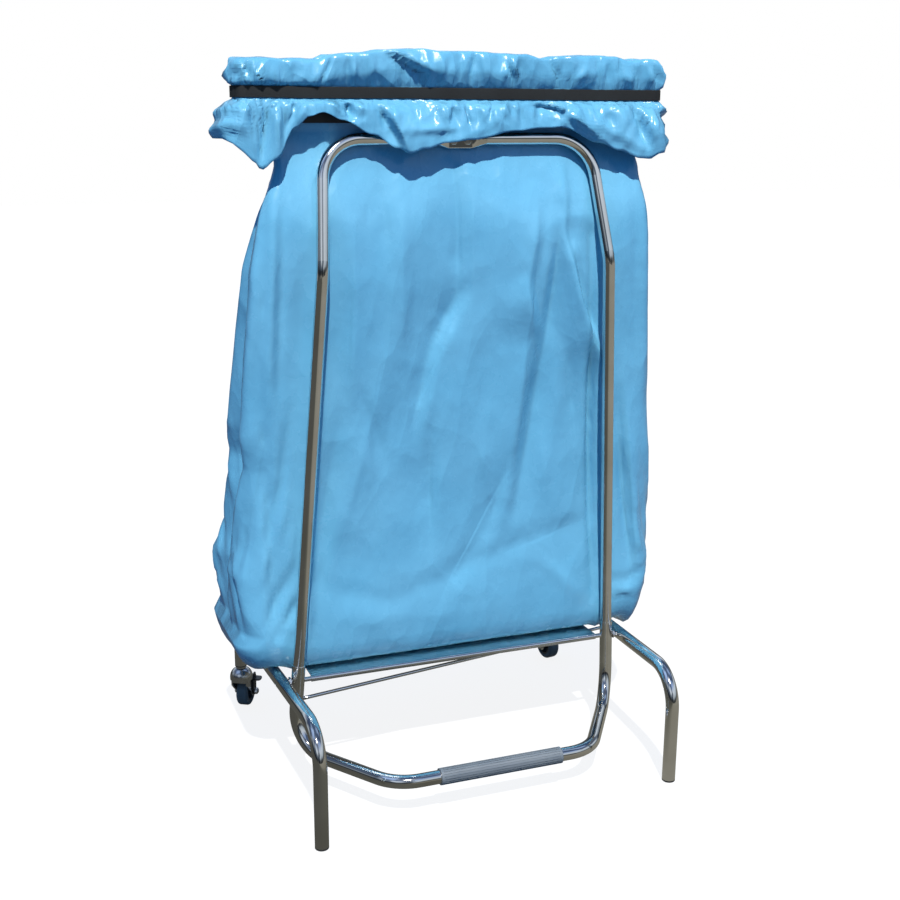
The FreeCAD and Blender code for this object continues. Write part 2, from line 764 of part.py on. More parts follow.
def wheel_nut():
    nut = hexagon(wheel_centre + V(nut_start, 0, 0), V(1, 0, 0), bolt_flats, bolt_head_h)
    hole_d = wheel_bolt_d + 2 * wheel_bolt_clearance
    return cross_hole(nut, nut_start, wheel_centre.y, wheel_centre.z, hole_d, bolt_flats)


def brake_lever():
    """Sheet lever on the wheel bolt, with a foot pedal bent outwards near its top."""
    x = lever_start
    y = caster_trail
    half = lever_pedal_w / 2
    foot = lever_foot_w / 2
    head = lever_head_w / 2
    outline = [V(x, y - foot, wheel_r), V(x, y - half, lever_pedal_z), V(x, y - head, lever_top_z),
               V(x, y + head, lever_top_z), V(x, y + half, lever_pedal_z), V(x, y + foot, wheel_r)]
    plate = Part.Face(Part.makePolygon(outline + [outline[0]])).extrude(V(lever_sheet, 0, 0))
    boss = rod(V(x, y, wheel_r), V(x + lever_sheet, y, wheel_r), lever_foot_w)
    pedal = Part.makeBox(lever_pedal_reach, lever_pedal_w, lever_sheet,
                         V(x, y - half, lever_pedal_z - lever_sheet))
    corners = [e for e in pedal.Edges if abs(e.BoundBox.ZLength - lever_sheet) < 0.01
               and e.BoundBox.XMin > x + 1]
    pedal = pedal.makeFillet(lever_corner_r, corners)
    lever = plate.fuse([boss, pedal])
    hole_d = wheel_bolt_d + 2 * wheel_bolt_clearance
    return cross_hole(lever, x, y, wheel_r, hole_d, lever_pedal_w).removeSplitter()


def at_caster(shape, side):
    """Turns a caster piece to its heading and moves it under its upright."""
    placed = shape.copy()
    placed.rotate(V(0, 0, 0), V(0, 0, 1), left_heading if side < 0 else right_heading)
    placed.translate(V(side * upright_x, upright_y, 0))
    return placed


def strap():
    """Rubber band round the gathered mouth."""
    grow = film_gap + collar_bunch + strap_gap
    low = strap_z - strap_h / 2
    walls = []
    for extra in (grow + strap_t, grow):
        walls.append(prism(rounded_outline(jaw_half_width + extra, jaw_front_y - extra,
                                           jaw_front_y + 2 * jaw_half_depth + extra,
                                           jaw_corner_r + extra, low), strap_h))
    return walls[0].cut(walls[1])


def lean(z, low_z, low_y, high_z, high_y):
    """Depth of a leaning straight tube at height z."""
    return low_y + (high_y - low_y) * (z - low_z) / (high_z - low_z)


def tube_face_front(z):
    """Rear face of the front frame's tubes, where the bag's front wall lies."""
    if z > kink_z:
        y = lean(z, kink_z, kink_y, top_z, top_y)
    else:
        y = lean(z, axle_z, 0, kink_z, kink_y)
    return y + leg_r + bag_tube_gap


def tube_face_rear(z):
    """Front face of the rear frame's uprights, where the bag's rear wall lies."""
    y = lean(max(z, upright_bend_z), upright_bend_z, upright_y, top_z, rear_top_y)
    return y - leg_r - bag_tube_gap


bag_low_z = axle_z + axle_d / 2 + hem_clearance + shelf_sheet + bag_floor_gap


neck_z = top_z - neck_entry_drop
wall_low_z = bag_low_z + wall_low_rise
jaw_top_z = jaw_bottom_z + jaw_height
front_spans = 14
rear_spans = 12
side_spans = 3
corner_steps = (0, 22.5, 45, 67.5, 90)


def eased(low, high, value):
    """Smooth step from 0 at low to 1 at high."""
    share = min(1.0, max(0.0, (value - low) / (high - low)))
    return share * share * (3 - 2 * share)


def row_value(rows, x, column):
    """Value in a column of rows that start with x, straight between them."""
    if x <= rows[0][0]:
        return rows[0][column]
    for before, after in zip(rows, rows[1:]):
        if x <= after[0]:
            share = (x - before[0]) / (after[0] - before[0])
            return before[column] + (after[column] - before[column]) * share
    return rows[-1][column]


def spread(start, end, spans):
    """Evenly spaced values from start to end, both included."""
    return [start + (end - start) * i / spans for i in range(spans + 1)]


def places_round(half_w, front_y, back_y, radius, front_x, shift=0.0):
    """Places round a rounded rectangle with their outward directions; front_x lists those of its front."""
    places = []
    w = half_w - radius
    fit = min(1.0, (w - corner_relief) / max(front_x))

    def corner(cx, cy, start_deg):
        for step in corner_steps:
            angle = math.radians(start_deg + step)
            nx = math.cos(angle)
            ny = math.sin(angle)
            places.append((cx + radius * nx, cy + radius * ny, nx, ny))

    corner(w + shift, back_y - radius, 0)
    for x in spread(w + shift, -w + shift, rear_spans)[1:-1]:
        places.append((x, back_y, 0.0, 1.0))
    corner(-w + shift, back_y - radius, 90)
    for y in spread(back_y - radius, front_y + radius, side_spans)[1:-1]:
        places.append((-half_w + shift, y, -1.0, 0.0))
    corner(-w + shift, front_y + radius, 180)
    for x in front_x:
        places.append((x * fit, front_y, 0.0, -1.0))
    corner(w + shift, front_y + radius, 270)
    for y in spread(front_y + radius, back_y - radius, side_spans)[1:-1]:
        places.append((half_w + shift, y, 1.0, 0.0))
    return places


def front_tube_x(z):
    """Half distance between the front frame's tubes at height z."""
    if z > kink_z:
        return lean(min(z, top_z), kink_z, kink_x, top_z, top_corner_x)
    return lean(z, axle_z, pivot_x, kink_z, kink_x)


def wall_x(z):
    """Places along the front wall at height z: beside each tube and evenly between the tubes."""
    inner = front_tube_x(z) - tube_hold
    outer = front_tube_x(z) + tube_hold
    return [-outer] + spread(-inner, inner, front_spans) + [outer]


def fold_push(x, z):
    """Depth of the front wall's folds at a place: each is a bell across and fades past its ends."""
    total = 0.0
    for x0, share0, x1, share1, depth, reach in bag_folds:
        z0 = wall_low_z + (neck_z - wall_low_z) * share0
        z1 = wall_low_z + (neck_z - wall_low_z) * share1
        length = math.hypot(x1 - x0, z1 - z0)
        along = ((x - x0) * (x1 - x0) + (z - z0) * (z1 - z0)) / length
        across = ((x - x0) * (z1 - z0) - (z - z0) * (x1 - x0)) / length
        beyond = max(0.0, -along, along - length)
        total += depth * math.exp(-(across / reach) ** 2 - (beyond / fold_fade) ** 2)
    return total


def wall_push(x, y, nx, ny, z, front, back, radius):
    """How far a place of the bag's wall lies outside (plus) or inside its plain outline."""
    if abs(nx) > 0.9:
        share = (z - wall_low_z) / (neck_z - wall_low_z)
        fade = eased(0, side_gusset_fade, share) * eased(1, 1 - side_gusset_fade, share)
        half = (back - front) / 2 - radius
        return -side_gusset_depth * fade * max(0.0, 1 - abs(y - (front + back) / 2) / half)
    if ny < -0.9:
        push = fold_push(x, z)
        if abs(abs(x) - front_tube_x(z)) < tube_hold + 1:
            push = min(push, 0.0)
        return push
    if ny > 0.9:
        return min(fold_push(-x, z), 0.0)
    return 0.0


def wall_ring(z, left, right, radius, inset):
    """Outline of the bag's walls at height z, with its folds; inset shrinks it by the film."""
    front = tube_face_front(z) + inset
    back = tube_face_rear(z) - inset
    half_w = (left + right) / 2 - inset
    points = []
    for x, y, nx, ny in places_round(half_w, front, back, radius - inset, wall_x(z), (right - left) / 2):
        push = wall_push(x, y, nx, ny, z, front, back, radius)
        points.append(V(x + nx * push, y + ny * push, z))
    return points


def plain_ring(half_w, front, back, radius, z, slope=0.0):
    """Outline without folds; slope lowers it towards the rear."""
    places = places_round(half_w, front, back, radius, wall_x(z))
    return [V(x, y, z - slope * y) for x, y, nx, ny in places]


def sill_ring(half_w, front, back, middle_z, side_z, lobes):
    """Outline near the bottom: at middle_z on the shelf, clear over the side tubes and at side_z beyond them."""
    over_z = axle_z + leg_r + sill_over_tube
    points = []
    for x, y, nx, ny in places_round(half_w, front, back, bag_bottom_r, wall_x(bag_low_z)):
        over = eased(bag_bottom_half_w, axle_side_x - leg_r, abs(x))
        beyond = eased(leg_r + lobe_start_gap, leg_r + lobe_end_gap, abs(x) - side_point(y).x)
        sag = lobes * (rear_lobe_left if x < 0 else rear_lobe_right)
        sag = sag * eased(rear_lobe_start_y, rear_lobe_end_y, y)
        z = middle_z + (over_z - middle_z) * over + (side_z - over_z - sag) * beyond
        points.append(V(x, y, z - side_slope * y))
    return points


def collar_ring(grow, height, depth):
    """Outline round the jaws at a distance; height and depth of the folds are functions of x and the side."""
    points = []
    hold = jaw_half_width - jaw_corner_r - collar_hold
    back_y = jaw_front_y + 2 * jaw_half_depth
    places = places_round(jaw_half_width, jaw_front_y, back_y, jaw_corner_r, spread(-hold, hold, front_spans + 2))
    for x, y, nx, ny in places:
        push = grow + depth(x, ny)
        points.append(V(x + nx * push, y + ny * push, height(x, ny)))
    return points


def level(z):
    return lambda x, ny: z


def crown_height(x, ny):
    return jaw_top_z + film_gap + row_value(crown_rows, x, 1)


def crown_side_height(x, ny):
    return jaw_top_z + film_gap + crown_slope * row_value(crown_rows, x, 1)


def gather_depth(x, ny):
    return max(0.0, row_value(crown_rows, x if ny < 0 else -x, 2))


def skirt_row(x, ny, column):
    share = eased(-1, 1, ny)
    return row_value(front_skirt, x, column) * (1 - share) + row_value(rear_skirt, x, column) * share


def hem_height(x, ny):
    return jaw_bottom_z + skirt_row(x, ny, 1)


def knee_depth(x, ny):
    return skirt_knee_fold * skirt_row(x, ny, 2)


def hem_depth(x, ny):
    knee_z = strap_z - skirt_knee_drop
    return skirt_lean * (knee_z - hem_height(x, ny)) + skirt_row(x, ny, 2)


def still(x, ny):
    return 0.0


def bottom_rings():
    """Outside of the bag from the shelf over the side tubes to its walls."""
    rear = tube_face_rear(bag_low_z) - bag_bottom_rear_in
    face = tube_face_front(bag_low_z)
    over_z = axle_z + leg_r + sill_over_tube
    lobe_x = axle_side_x + leg_r + lobe_gap
    front = face + sill_front_in
    return [
        plain_ring(bag_bottom_half_w, bag_front_y, rear, bag_bottom_r, bag_low_z, side_slope),
        sill_ring(axle_side_x, front, rear, bag_low_z + sill_rise, over_z, 0.0),
        sill_ring(lobe_x, front, rear, bag_low_z + 2 * sill_rise, over_z - lobe_top_drop, 0.0),
        sill_ring(lobe_x + lobe_w, face + lobe_front_in, rear + lip_rear_out / 2, bag_low_z + lobe_rise,
                  over_z - lobe_top_drop - lobe_h, 1.0),
        sill_ring(lobe_x + lip_w, face + lip_front_in, rear + lip_rear_out, bag_low_z + lip_rise,
                  over_z + lip_h, lip_lobe_share),
    ]


def inner_bottom_rings():
    """Inside of the bag's bottom, plain above the folds."""
    rear = tube_face_rear(bag_low_z) - bag_bottom_rear_in
    return [
        plain_ring(bag_bottom_half_w - film, bag_front_y + film, rear - film, bag_bottom_r - film,
                   bag_low_z + film, side_slope),
        plain_ring(inner_floor_w, bag_front_y, rear, bag_bottom_r, bag_low_z + inner_floor_rise),
    ]


def wall_rings(inset):
    """Walls from the lowest level to the neck and up between the jaws; inset shrinks them by the film."""
    rings = []
    for share, left, right, radius in bag_levels:
        rings.append(wall_ring(wall_low_z + (neck_z - wall_low_z) * share, left, right, radius, inset))
    neck = [
        (neck_z, neck_entry_half_w, neck_half_depth + neck_spread),
        (top_z, neck_half_w, neck_half_depth),
        (jaw_bottom_z - neck_throat_drop, neck_throat_half_w, neck_half_depth + neck_spread),
        (jaw_bottom_z + mouth_entry_rise, jaw_half_width - jaw_sheet - film_gap,
         jaw_half_depth - jaw_sheet - film_gap),
    ]
    for z, half_w, half_d in neck:
        rings.append(plain_ring(half_w - inset, mouth_y - half_d + inset, mouth_y + half_d - inset,
                                half_d - inset - corner_relief, z))
    return rings


def collar_rings(extra):
    """Film over the jaws and down outside them: crown, gathers, strap seat and skirt; extra is its bunching."""
    strap_top = strap_z + strap_h / 2
    waist = strap_z - strap_h / 2 - skirt_break_drop
    lift = extra * crown_shoulder

    def slot_height(x, ny):
        return crown_height(x, ny) + extra

    def edge_height(x, ny):
        return crown_side_height(x, ny) + lift

    return [
        collar_ring(-jaw_sheet - film_gap - (film if extra else 0.0), slot_height, still),
        collar_ring(film_gap + extra, edge_height, still),
        collar_ring(film_gap + gather_bulge + extra, level(jaw_top_z - gather_drop), gather_depth),
        collar_ring(film_gap + extra, level(strap_top + gather_gap), still),
        collar_ring(film_gap + extra, level(waist), still),
        collar_ring(skirt_knee_flare + extra, level(strap_z - skirt_knee_drop), knee_depth),
        collar_ring(skirt_knee_flare + extra, hem_height, hem_depth),
    ]


def skin(rings):
    """Closed solid over rings of as many places each, with flat ends; each span is cut the same way."""
    def middle_z(ring):
        return sum(p.z for p in ring) / len(ring)

    faces = []
    for low, high in zip(rings, rings[1:]):
        rising = middle_z(high) > middle_z(low)
        for k in range(len(low)):
            after = (k + 1) % len(low)
            if rising:
                corners = ((low[k], low[after], high[after]), (low[k], high[after], high[k]))
            else:
                corners = ((low[k], low[after], high[k]), (low[after], high[after], high[k]))
            for a, b, c in corners:
                faces.append(Part.Face(Part.makePolygon([a, b, c, a])))
    for end in (rings[0], rings[-1]):
        faces.append(Part.Face(Part.makePolygon(end + end[:1])))
    shell = Part.makeShell(faces)
    shell.sewShape()
    return Part.Solid(shell)


def bag():
    """Bag as one film: out of its floor, up the walls, over the jaws to the skirt's edge and back inside."""
    outside = bottom_rings() + wall_rings(0.0) + collar_rings(0.0)
    inside = inner_bottom_rings() + wall_rings(film) + collar_rings(collar_bunch)
    return skin(outside + inside[::-1])


put("front_upper_tube", front_upper_tube())
put("pedal_tube", pedal_tube())
put("pedal_grip", pedal_grip())
put("rear_frame_tube", rear_frame_tube())
for place, is_front in (("front", True), ("rear", False)):
    screws, nuts = jaw_screws(is_front)
    put(place + "_jaw", jaw(is_front))
    put(place + "_jaw_screws", screws)
    put(place + "_jaw_nuts", nuts)
for name, side in (("left", -1), ("right", 1)):
    put("front_leg_" + name, front_leg(side))
    put("foot_cap_" + name, turned(foot_cap(), side))
    put("rear_side_tube_" + name, rear_side_tube(side))
    put("caster_plug_" + name, at_caster(caster_plug(), side))
    put("caster_stem_" + name, at_caster(caster_stem(), side))
    put("caster_fork_" + name, at_caster(caster_fork(), side))
    put("wheel_core_" + name, at_caster(wheel_core(), side))
    put("wheel_tyre_" + name, at_caster(wheel_tyre(), side))
    put("wheel_bolt_" + name, at_caster(wheel_bolt(), side))
    put("wheel_nut_" + name, at_caster(wheel_nut(), side))
    put("brake_lever_" + name, at_caster(brake_lever(), side))
put("axle_rod", cross_rod(0))
put("axle_spacers", axle_spacers())
put("shelf_rear_rod", cross_rod(shelf_depth))
put("bag_shelf", bag_shelf())
put("return_spring_rod", return_spring_rod())
put("strap", strap())
put("bag", bag())
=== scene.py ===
import bpy
import bmesh
import json
import math
import random
from mathutils import Matrix, Vector, noise


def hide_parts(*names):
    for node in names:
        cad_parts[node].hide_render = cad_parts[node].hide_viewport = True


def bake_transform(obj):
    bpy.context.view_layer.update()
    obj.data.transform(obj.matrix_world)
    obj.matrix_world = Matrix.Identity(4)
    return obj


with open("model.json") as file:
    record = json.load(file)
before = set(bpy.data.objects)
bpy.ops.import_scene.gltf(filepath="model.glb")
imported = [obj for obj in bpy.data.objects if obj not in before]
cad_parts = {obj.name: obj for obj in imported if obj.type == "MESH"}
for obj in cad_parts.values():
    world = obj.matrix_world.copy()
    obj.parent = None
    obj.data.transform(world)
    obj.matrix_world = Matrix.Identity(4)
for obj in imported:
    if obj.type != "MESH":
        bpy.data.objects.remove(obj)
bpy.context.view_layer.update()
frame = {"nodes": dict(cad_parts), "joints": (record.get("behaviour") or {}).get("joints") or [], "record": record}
nodes = frame["nodes"]
hinge = [joint for joint in frame["joints"] if joint["name"] == "pedal_hinge"][0]
axle_y, axle_z = hinge["pos_m"][1], hinge["pos_m"][2] * 1000

# Sizes are in millimetres from the axle (y = 0) and the floor (z = 0); spot() turns them into the frame.

# Tubes of the frame
tube_r = 10.0
pivot_x = 256.3
kink_x, kink_y, kink_z = 216.0, -39.5, 777.6
top_x, top_y, top_z = 200.4, 9.3, 949.9
upright_y, upright_bend_z = 268.0, 185.0
upright_top_y = 38.9

# Mouth bands and the slot between them
jaw_half_w = 316.0
jaw_front, jaw_rear = 10.9, 37.3
jaw_corner_r = 12.0
mouth_y = 24.1

# Shelf under the bag
shelf_half_w = 238
shelf_middle_y = 145
shelf_front_reach, shelf_rear_reach = 95, 90
shelf_corner_r = 45
shelf_z = axle_z + 5.0
side_slope = 0.0487


def spot(x, y, z):
    return Vector((x / 1000, y / 1000 + axle_y, z / 1000))


def smooth_step(low, high, value):
    t = min(1.0, max(0.0, (value - low) / (high - low)))
    return t * t * (3 - 2 * t)


def through(knots, value, ease):
    """Value between (place, value) knots; ease(low, high, value) is the way from one to the next."""
    if value <= knots[0][0]:
        return knots[0][1]
    for (a, va), (b, vb) in zip(knots, knots[1:]):
        if value <= b:
            return va + (vb - va) * ease(a, b, value)
    return knots[-1][1]


def along(knots, value):
    return through(knots, value, smooth_step)


def straight(knots, value):
    return through(knots, value, lambda low, high, place: (place - low) / (high - low))


def curve(knots, value):
    """Value on a smooth curve through (place, value) knots."""
    if value <= knots[0][0]:
        return knots[0][1]
    for i in range(len(knots) - 1):
        (a, va), (b, vb) = knots[i], knots[i + 1]
        if value <= b:
            before = knots[max(0, i - 1)]
            after = knots[min(len(knots) - 1, i + 2)]
            slope_a = (vb - before[1]) / (b - before[0]) * (b - a)
            slope_b = (after[1] - va) / (after[0] - a) * (b - a)
            t = (value - a) / (b - a)
            return ((2 * t ** 3 - 3 * t * t + 1) * va + (t ** 3 - 2 * t * t + t) * slope_a
                    + (3 * t * t - 2 * t ** 3) * vb + (t ** 3 - t * t) * slope_b)
    return knots[-1][1]


# Shader helpers

def new_material(name):
    material = bpy.data.materials.new(name)
    material.use_nodes = True
    tree = material.node_tree
    return material, tree, tree.nodes["Principled BSDF"]


def stretched_place(tree, stretch):
    """Place on the object, stretched along its three axes."""
    place = tree.nodes.new("ShaderNodeTexCoord")
    mapping = tree.nodes.new("ShaderNodeMapping")
    mapping.inputs["Scale"].default_value = stretch
    tree.links.new(place.outputs["Object"], mapping.inputs["Vector"])
    return mapping.outputs["Vector"]


def add_noise(tree, scale, detail=3.0, stretch=(1, 1, 1)):
    pattern = tree.nodes.new("ShaderNodeTexNoise")
    pattern.inputs["Scale"].default_value = scale
    pattern.inputs["Detail"].default_value = detail
    tree.links.new(stretched_place(tree, stretch), pattern.inputs["Vector"])
    return pattern.outputs["Fac"]


def maths(tree, operation, *values):
    """Result of a sum on values that are numbers or sockets."""
    node = tree.nodes.new("ShaderNodeMath")
    node.operation = operation
    for socket, value in zip(node.inputs, values):
        if isinstance(value, float):
            socket.default_value = value
        else:
            tree.links.new(value, socket)
    return node.outputs["Value"]


def between(tree, source, low, high, least=0.0, most=1.0):
    """Value running from least to most while the source runs from low to high."""
    node = tree.nodes.new("ShaderNodeMapRange")
    node.inputs["From Min"].default_value = low
    node.inputs["From Max"].default_value = high
    node.inputs["To Min"].default_value = least
    node.inputs["To Max"].default_value = most
    tree.links.new(source, node.inputs["Value"])
    return node.outputs["Result"]


def ramp(tree, source, stops):
    """Colour ramp over a pattern; stops are (place, colour)."""
    node = tree.nodes.new("ShaderNodeValToRGB")
    while len(node.color_ramp.elements) < len(stops):
        node.color_ramp.elements.new(0.5)
    for element, (place, colour) in zip(node.color_ramp.elements, stops):
        element.position = place
        element.color = (*colour, 1)
    tree.links.new(source, node.inputs["Fac"])
    return node.outputs["Color"]


def grey(value):
    return (value, value, value)


def bump(tree, height, distance, strength=1.0, after=None):
    """Normal bent by a height pattern; strength is a number or a socket."""
    node = tree.nodes.new("ShaderNodeBump")
    node.inputs["Distance"].default_value = distance
    if isinstance(strength, float):
        node.inputs["Strength"].default_value = strength
    else:
        tree.links.new(strength, node.inputs["Strength"])
    tree.links.new(height, node.inputs["Height"])
    if after is not None:
        tree.links.new(after, node.inputs["Normal"])
    return node.outputs["Normal"]


def clouded(tree, shader, pattern, low, high):
    """Colour between two shades by a pattern."""
    tree.links.new(ramp(tree, pattern, [(0.3, low), (0.7, high)]), shader.inputs["Base Color"])


# Finishes of the frame

def chrome_material():
    material, tree, shader = new_material("polished_chrome")
    shader.inputs["Metallic"].default_value = 1.0
    clouded(tree, shader, add_noise(tree, 14.0, 4.0), (0.70, 0.69, 0.66), (0.82, 0.82, 0.81))
    haze = add_noise(tree, 60.0, 5.0)
    tree.links.new(ramp(tree, haze, [(0.35, grey(0.05)), (0.75, grey(0.13))]), shader.inputs["Roughness"])
    scuff = add_noise(tree, 900.0, 2.0)
    tree.links.new(bump(tree, scuff, 0.00002, 0.25), shader.inputs["Normal"])
    return material


def steel_material(name, low, high, rough, stretch, scale):
    material, tree, shader = new_material(name)
    shader.inputs["Metallic"].default_value = 1.0
    streak = add_noise(tree, scale, 5.0, stretch)
    clouded(tree, shader, streak, low, high)
    tree.links.new(ramp(tree, streak, [(0.25, grey(rough * 0.75)), (0.75, grey(rough * 1.3))]),
                   shader.inputs["Roughness"])
    tree.links.new(bump(tree, streak, 0.00004, 0.4), shader.inputs["Normal"])
    return material


def plastic_material(name, low, high, rough, grain, depth):
    material, tree, shader = new_material(name)
    clouded(tree, shader, add_noise(tree, 25.0, 4.0), low, high)
    fine = add_noise(tree, grain, 3.0)
    tree.links.new(ramp(tree, fine, [(0.3, grey(rough * 0.85)), (0.7, grey(rough * 1.15))]),
                   shader.inputs["Roughness"])
    tree.links.new(bump(tree, fine, depth, 0.6), shader.inputs["Normal"])
    return material


# Finish of the film

def cells(tree, scale, stretch):
    """Flat little facets with sharp edges, as in crumpled film."""
    place = stretched_place(tree, stretch)
    warp = tree.nodes.new("ShaderNodeTexNoise")
    warp.inputs["Scale"].default_value = scale * 0.5
    tree.links.new(place, warp.inputs["Vector"])
    mix = tree.nodes.new("ShaderNodeMix")
    mix.data_type = "VECTOR"
    mix.inputs[0].default_value = 0.9 / scale
    tree.links.new(place, mix.inputs[4])
    tree.links.new(warp.outputs["Color"], mix.inputs[5])
    pattern = tree.nodes.new("ShaderNodeTexVoronoi")
    pattern.inputs["Scale"].default_value = scale
    tree.links.new(mix.outputs[1], pattern.inputs["Vector"])
    return pattern.outputs["Distance"]


def ridges(tree, scale, stretch):
    """Sharp-backed creases where a cloudy pattern passes its middle value."""
    return maths(tree, "ABSOLUTE", maths(tree, "SUBTRACT", add_noise(tree, scale, 1.0, stretch), 0.5))


# Creases of the front wall, as start (x, z) and lower end (x, z), height (minus is a valley), reach to the
# left and to the right.
wall_creases = [
    (0, 742, -82, 525, -1.2, 26, 4), (112, 842, 92, 560, 0.9, 24, 4), (149, 860, 205, 655, 1.6, 26, 4),
    (186, 708, 240, 590, 1.5, 22, 4), (92, 480, -36, 246, -0.9, 20, 4), (236, 370, 60, 318, -0.4, 20, 5),
    (-43, 520, -43, 372, -1.0, 28, 4), (250, 570, 312, 270, 1.4, 4, 26), (-288, 560, -330, 280, -1.2, 4, 20),
    (-6, 905, -4, 720, -0.8, 30, 4), (-160, 860, -172, 590, 0.7, 4, 24),
]


def crease_lines(tree):
    """Height in metres of the sharp creases along straight lines across the wall."""
    place = tree.nodes.new("ShaderNodeTexCoord")

    def measured(way, spans):
        dot = tree.nodes.new("ShaderNodeVectorMath")
        dot.operation = "DOT_PRODUCT"
        dot.inputs[1].default_value = way
        tree.links.new(place.outputs["Object"], dot.inputs[0])
        return [between(tree, dot.outputs["Value"], low, high) for low, high in spans]

    total = 0.0
    for crease in wall_creases:
        x0, z0, x1, z1, height, left, right = (value / 1000 for value in crease)
        length = math.hypot(x1 - x0, z1 - z0)
        out = Vector(((z0 - z1) / length, 0, (x1 - x0) / length))
        down = Vector(((x1 - x0) / length, 0, (z1 - z0) / length))
        middle = out.x * x0 + out.z * z0
        start = down.x * x0 + down.z * z0
        sides = measured(out, [(middle - left, middle), (middle + right, middle)])
        ends = measured(down, [(start, start + 0.4 * length), (start + length, start + 0.6 * length)])
        tent = maths(tree, "MULTIPLY", maths(tree, "MINIMUM", *sides), maths(tree, "MULTIPLY", *ends))
        total = maths(tree, "ADD", maths(tree, "MULTIPLY", tent, height), total)
    return total


def film_material():
    """Thin blue film: crisp creases and dense gathers at the top, faint creases on the walls."""
    material, tree, shader = new_material("blue_bag_film")
    clouded(tree, shader, add_noise(tree, 7.0, 4.0), (0.115, 0.365, 0.535), (0.14, 0.40, 0.57))
    haze = add_noise(tree, 35.0, 3.0)
    tree.links.new(ramp(tree, haze, [(0.3, grey(0.22)), (0.7, grey(0.32))]), shader.inputs["Roughness"])
    shader.inputs["Specular IOR Level"].default_value = 0.32
    shader.inputs["Coat Weight"].default_value = 0.28
    shader.inputs["Coat Roughness"].default_value = 0.045
    place = tree.nodes.new("ShaderNodeTexCoord")
    apart = tree.nodes.new("ShaderNodeSeparateXYZ")
    tree.links.new(place.outputs["Object"], apart.inputs["Vector"])
    across, rise = apart.outputs["X"], apart.outputs["Z"]
    creased = between(tree, rise, 0.92, 0.99, 0.24, 0.75)
    at_strap = maths(tree, "MULTIPLY", between(tree, rise, 1.046, 1.018), between(tree, rise, 0.962, 1.001))
    at_ends = between(tree, maths(tree, "ABSOLUTE", across), 0.16, 0.30, 0.35, 1.0)
    pleated = maths(tree, "MULTIPLY", at_ends, at_strap)
    pleats = bump(tree, ridges(tree, 80.0, (1, 1, 0.16)), 0.009, pleated)
    lines = bump(tree, crease_lines(tree), 1.0, 1.0, pleats)
    broad = bump(tree, cells(tree, 14.0, (1, 1, 0.36)), 0.030, creased, lines)
    middle = bump(tree, cells(tree, 27.0, (1, 1, 0.45)), 0.010, creased, broad)
    small = bump(tree, cells(tree, 75.0, (1, 1, 0.7)), 0.0014, creased, middle)
    grain = bump(tree, add_noise(tree, 150.0, 4.0), 0.0003, 0.5, small)
    tree.links.new(grain, shader.inputs["Normal"])
    return material


finishes = {
    "chrome_tube": chrome_material(),
    "stainless": steel_material("plain_stainless", (0.58, 0.60, 0.62), (0.66, 0.68, 0.70), 0.13,
                                (2, 30, 30), 8.0),
    "zinc": steel_material("bright_zinc", (0.56, 0.57, 0.58), (0.72, 0.73, 0.74), 0.22,
                           (1, 1, 1), 160.0),
    "black_metal": plastic_material("black_paint", (0.010, 0.010, 0.011), (0.018, 0.018, 0.019), 0.35,
                                    500.0, 0.00004),
    "black_plastic": plastic_material("black_plastic", (0.014, 0.014, 0.015), (0.022, 0.022, 0.023), 0.5,
                                      700.0, 0.00005),
    "grip_plastic": plastic_material("grey_grip_plastic", (0.118, 0.138, 0.156), (0.145, 0.165, 0.18), 0.5,
                                     900.0, 0.00005),
    "tyre": plastic_material("grey_tyre_rubber", (0.10, 0.11, 0.11), (0.14, 0.15, 0.15), 0.62,
                             800.0, 0.00006),
    "wheel_core": plastic_material("wheel_core_plastic", (0.03, 0.032, 0.034), (0.045, 0.047, 0.05), 0.42,
                                   600.0, 0.00004),
    "strap_rubber": plastic_material("strap_rubber", (0.006, 0.007, 0.008), (0.010, 0.012, 0.013), 0.6,
                                     650.0, 0.00006),
    "bag_film": film_material(),
}


def dress_frame():
    """Gives every node of the frame the finish of its slot."""
    slots = {row["node"]: row["material_slot"] for row in frame["record"]["subparts"]}
    for name, node in nodes.items():
        node.data.materials.clear()
        node.data.materials.append(finishes[slots[name]])


# Mesh helpers

def new_piece(name, mesh, slot_name):
    data = bpy.data.meshes.new(name)
    mesh.to_mesh(data)
    mesh.free()
    piece = bpy.data.objects.new(name, data)
    bpy.context.scene.collection.objects.link(piece)
    data.materials.append(finishes[slot_name])
    for face in data.polygons:
        face.use_smooth = True
    return piece


def round_the_outline(share, half_w, front, rear, radius, shift=0.0):
    """Point on a rounded rectangle and its outward direction; share runs from the middle of the rear
    edge over the right side, the front and the left side. An edge has its start, way and outward
    direction, a corner its centre and first angle."""
    run = half_w - radius
    side = rear - front - 2 * radius
    quarter = math.pi * radius / 2
    stretches = [
        (run, (0, rear), (1, 0), (0, 1)), (quarter, (run, rear - radius), 90, None),
        (side, (half_w, rear - radius), (0, -1), (1, 0)), (quarter, (run, front + radius), 0, None),
        (2 * run, (run, front), (-1, 0), (0, -1)), (quarter, (-run, front + radius), -90, None),
        (side, (-half_w, front + radius), (0, 1), (-1, 0)), (quarter, (-run, rear - radius), -180, None),
        (run, (-run, rear), (1, 0), (0, 1)),
    ]
    left = share * sum(stretch[0] for stretch in stretches)
    for length, start, way, out in stretches:
        if left > length:
            left -= length
            continue
        if out is None:
            angle = math.radians(way - 90 * left / length)
            nx, ny = math.cos(angle), math.sin(angle)
            return start[0] + radius * nx + shift, start[1] + radius * ny, nx, ny
        return start[0] + way[0] * left + shift, start[1] + way[1] * left, out[0], out[1]
    return shift, rear, 0.0, 1.0


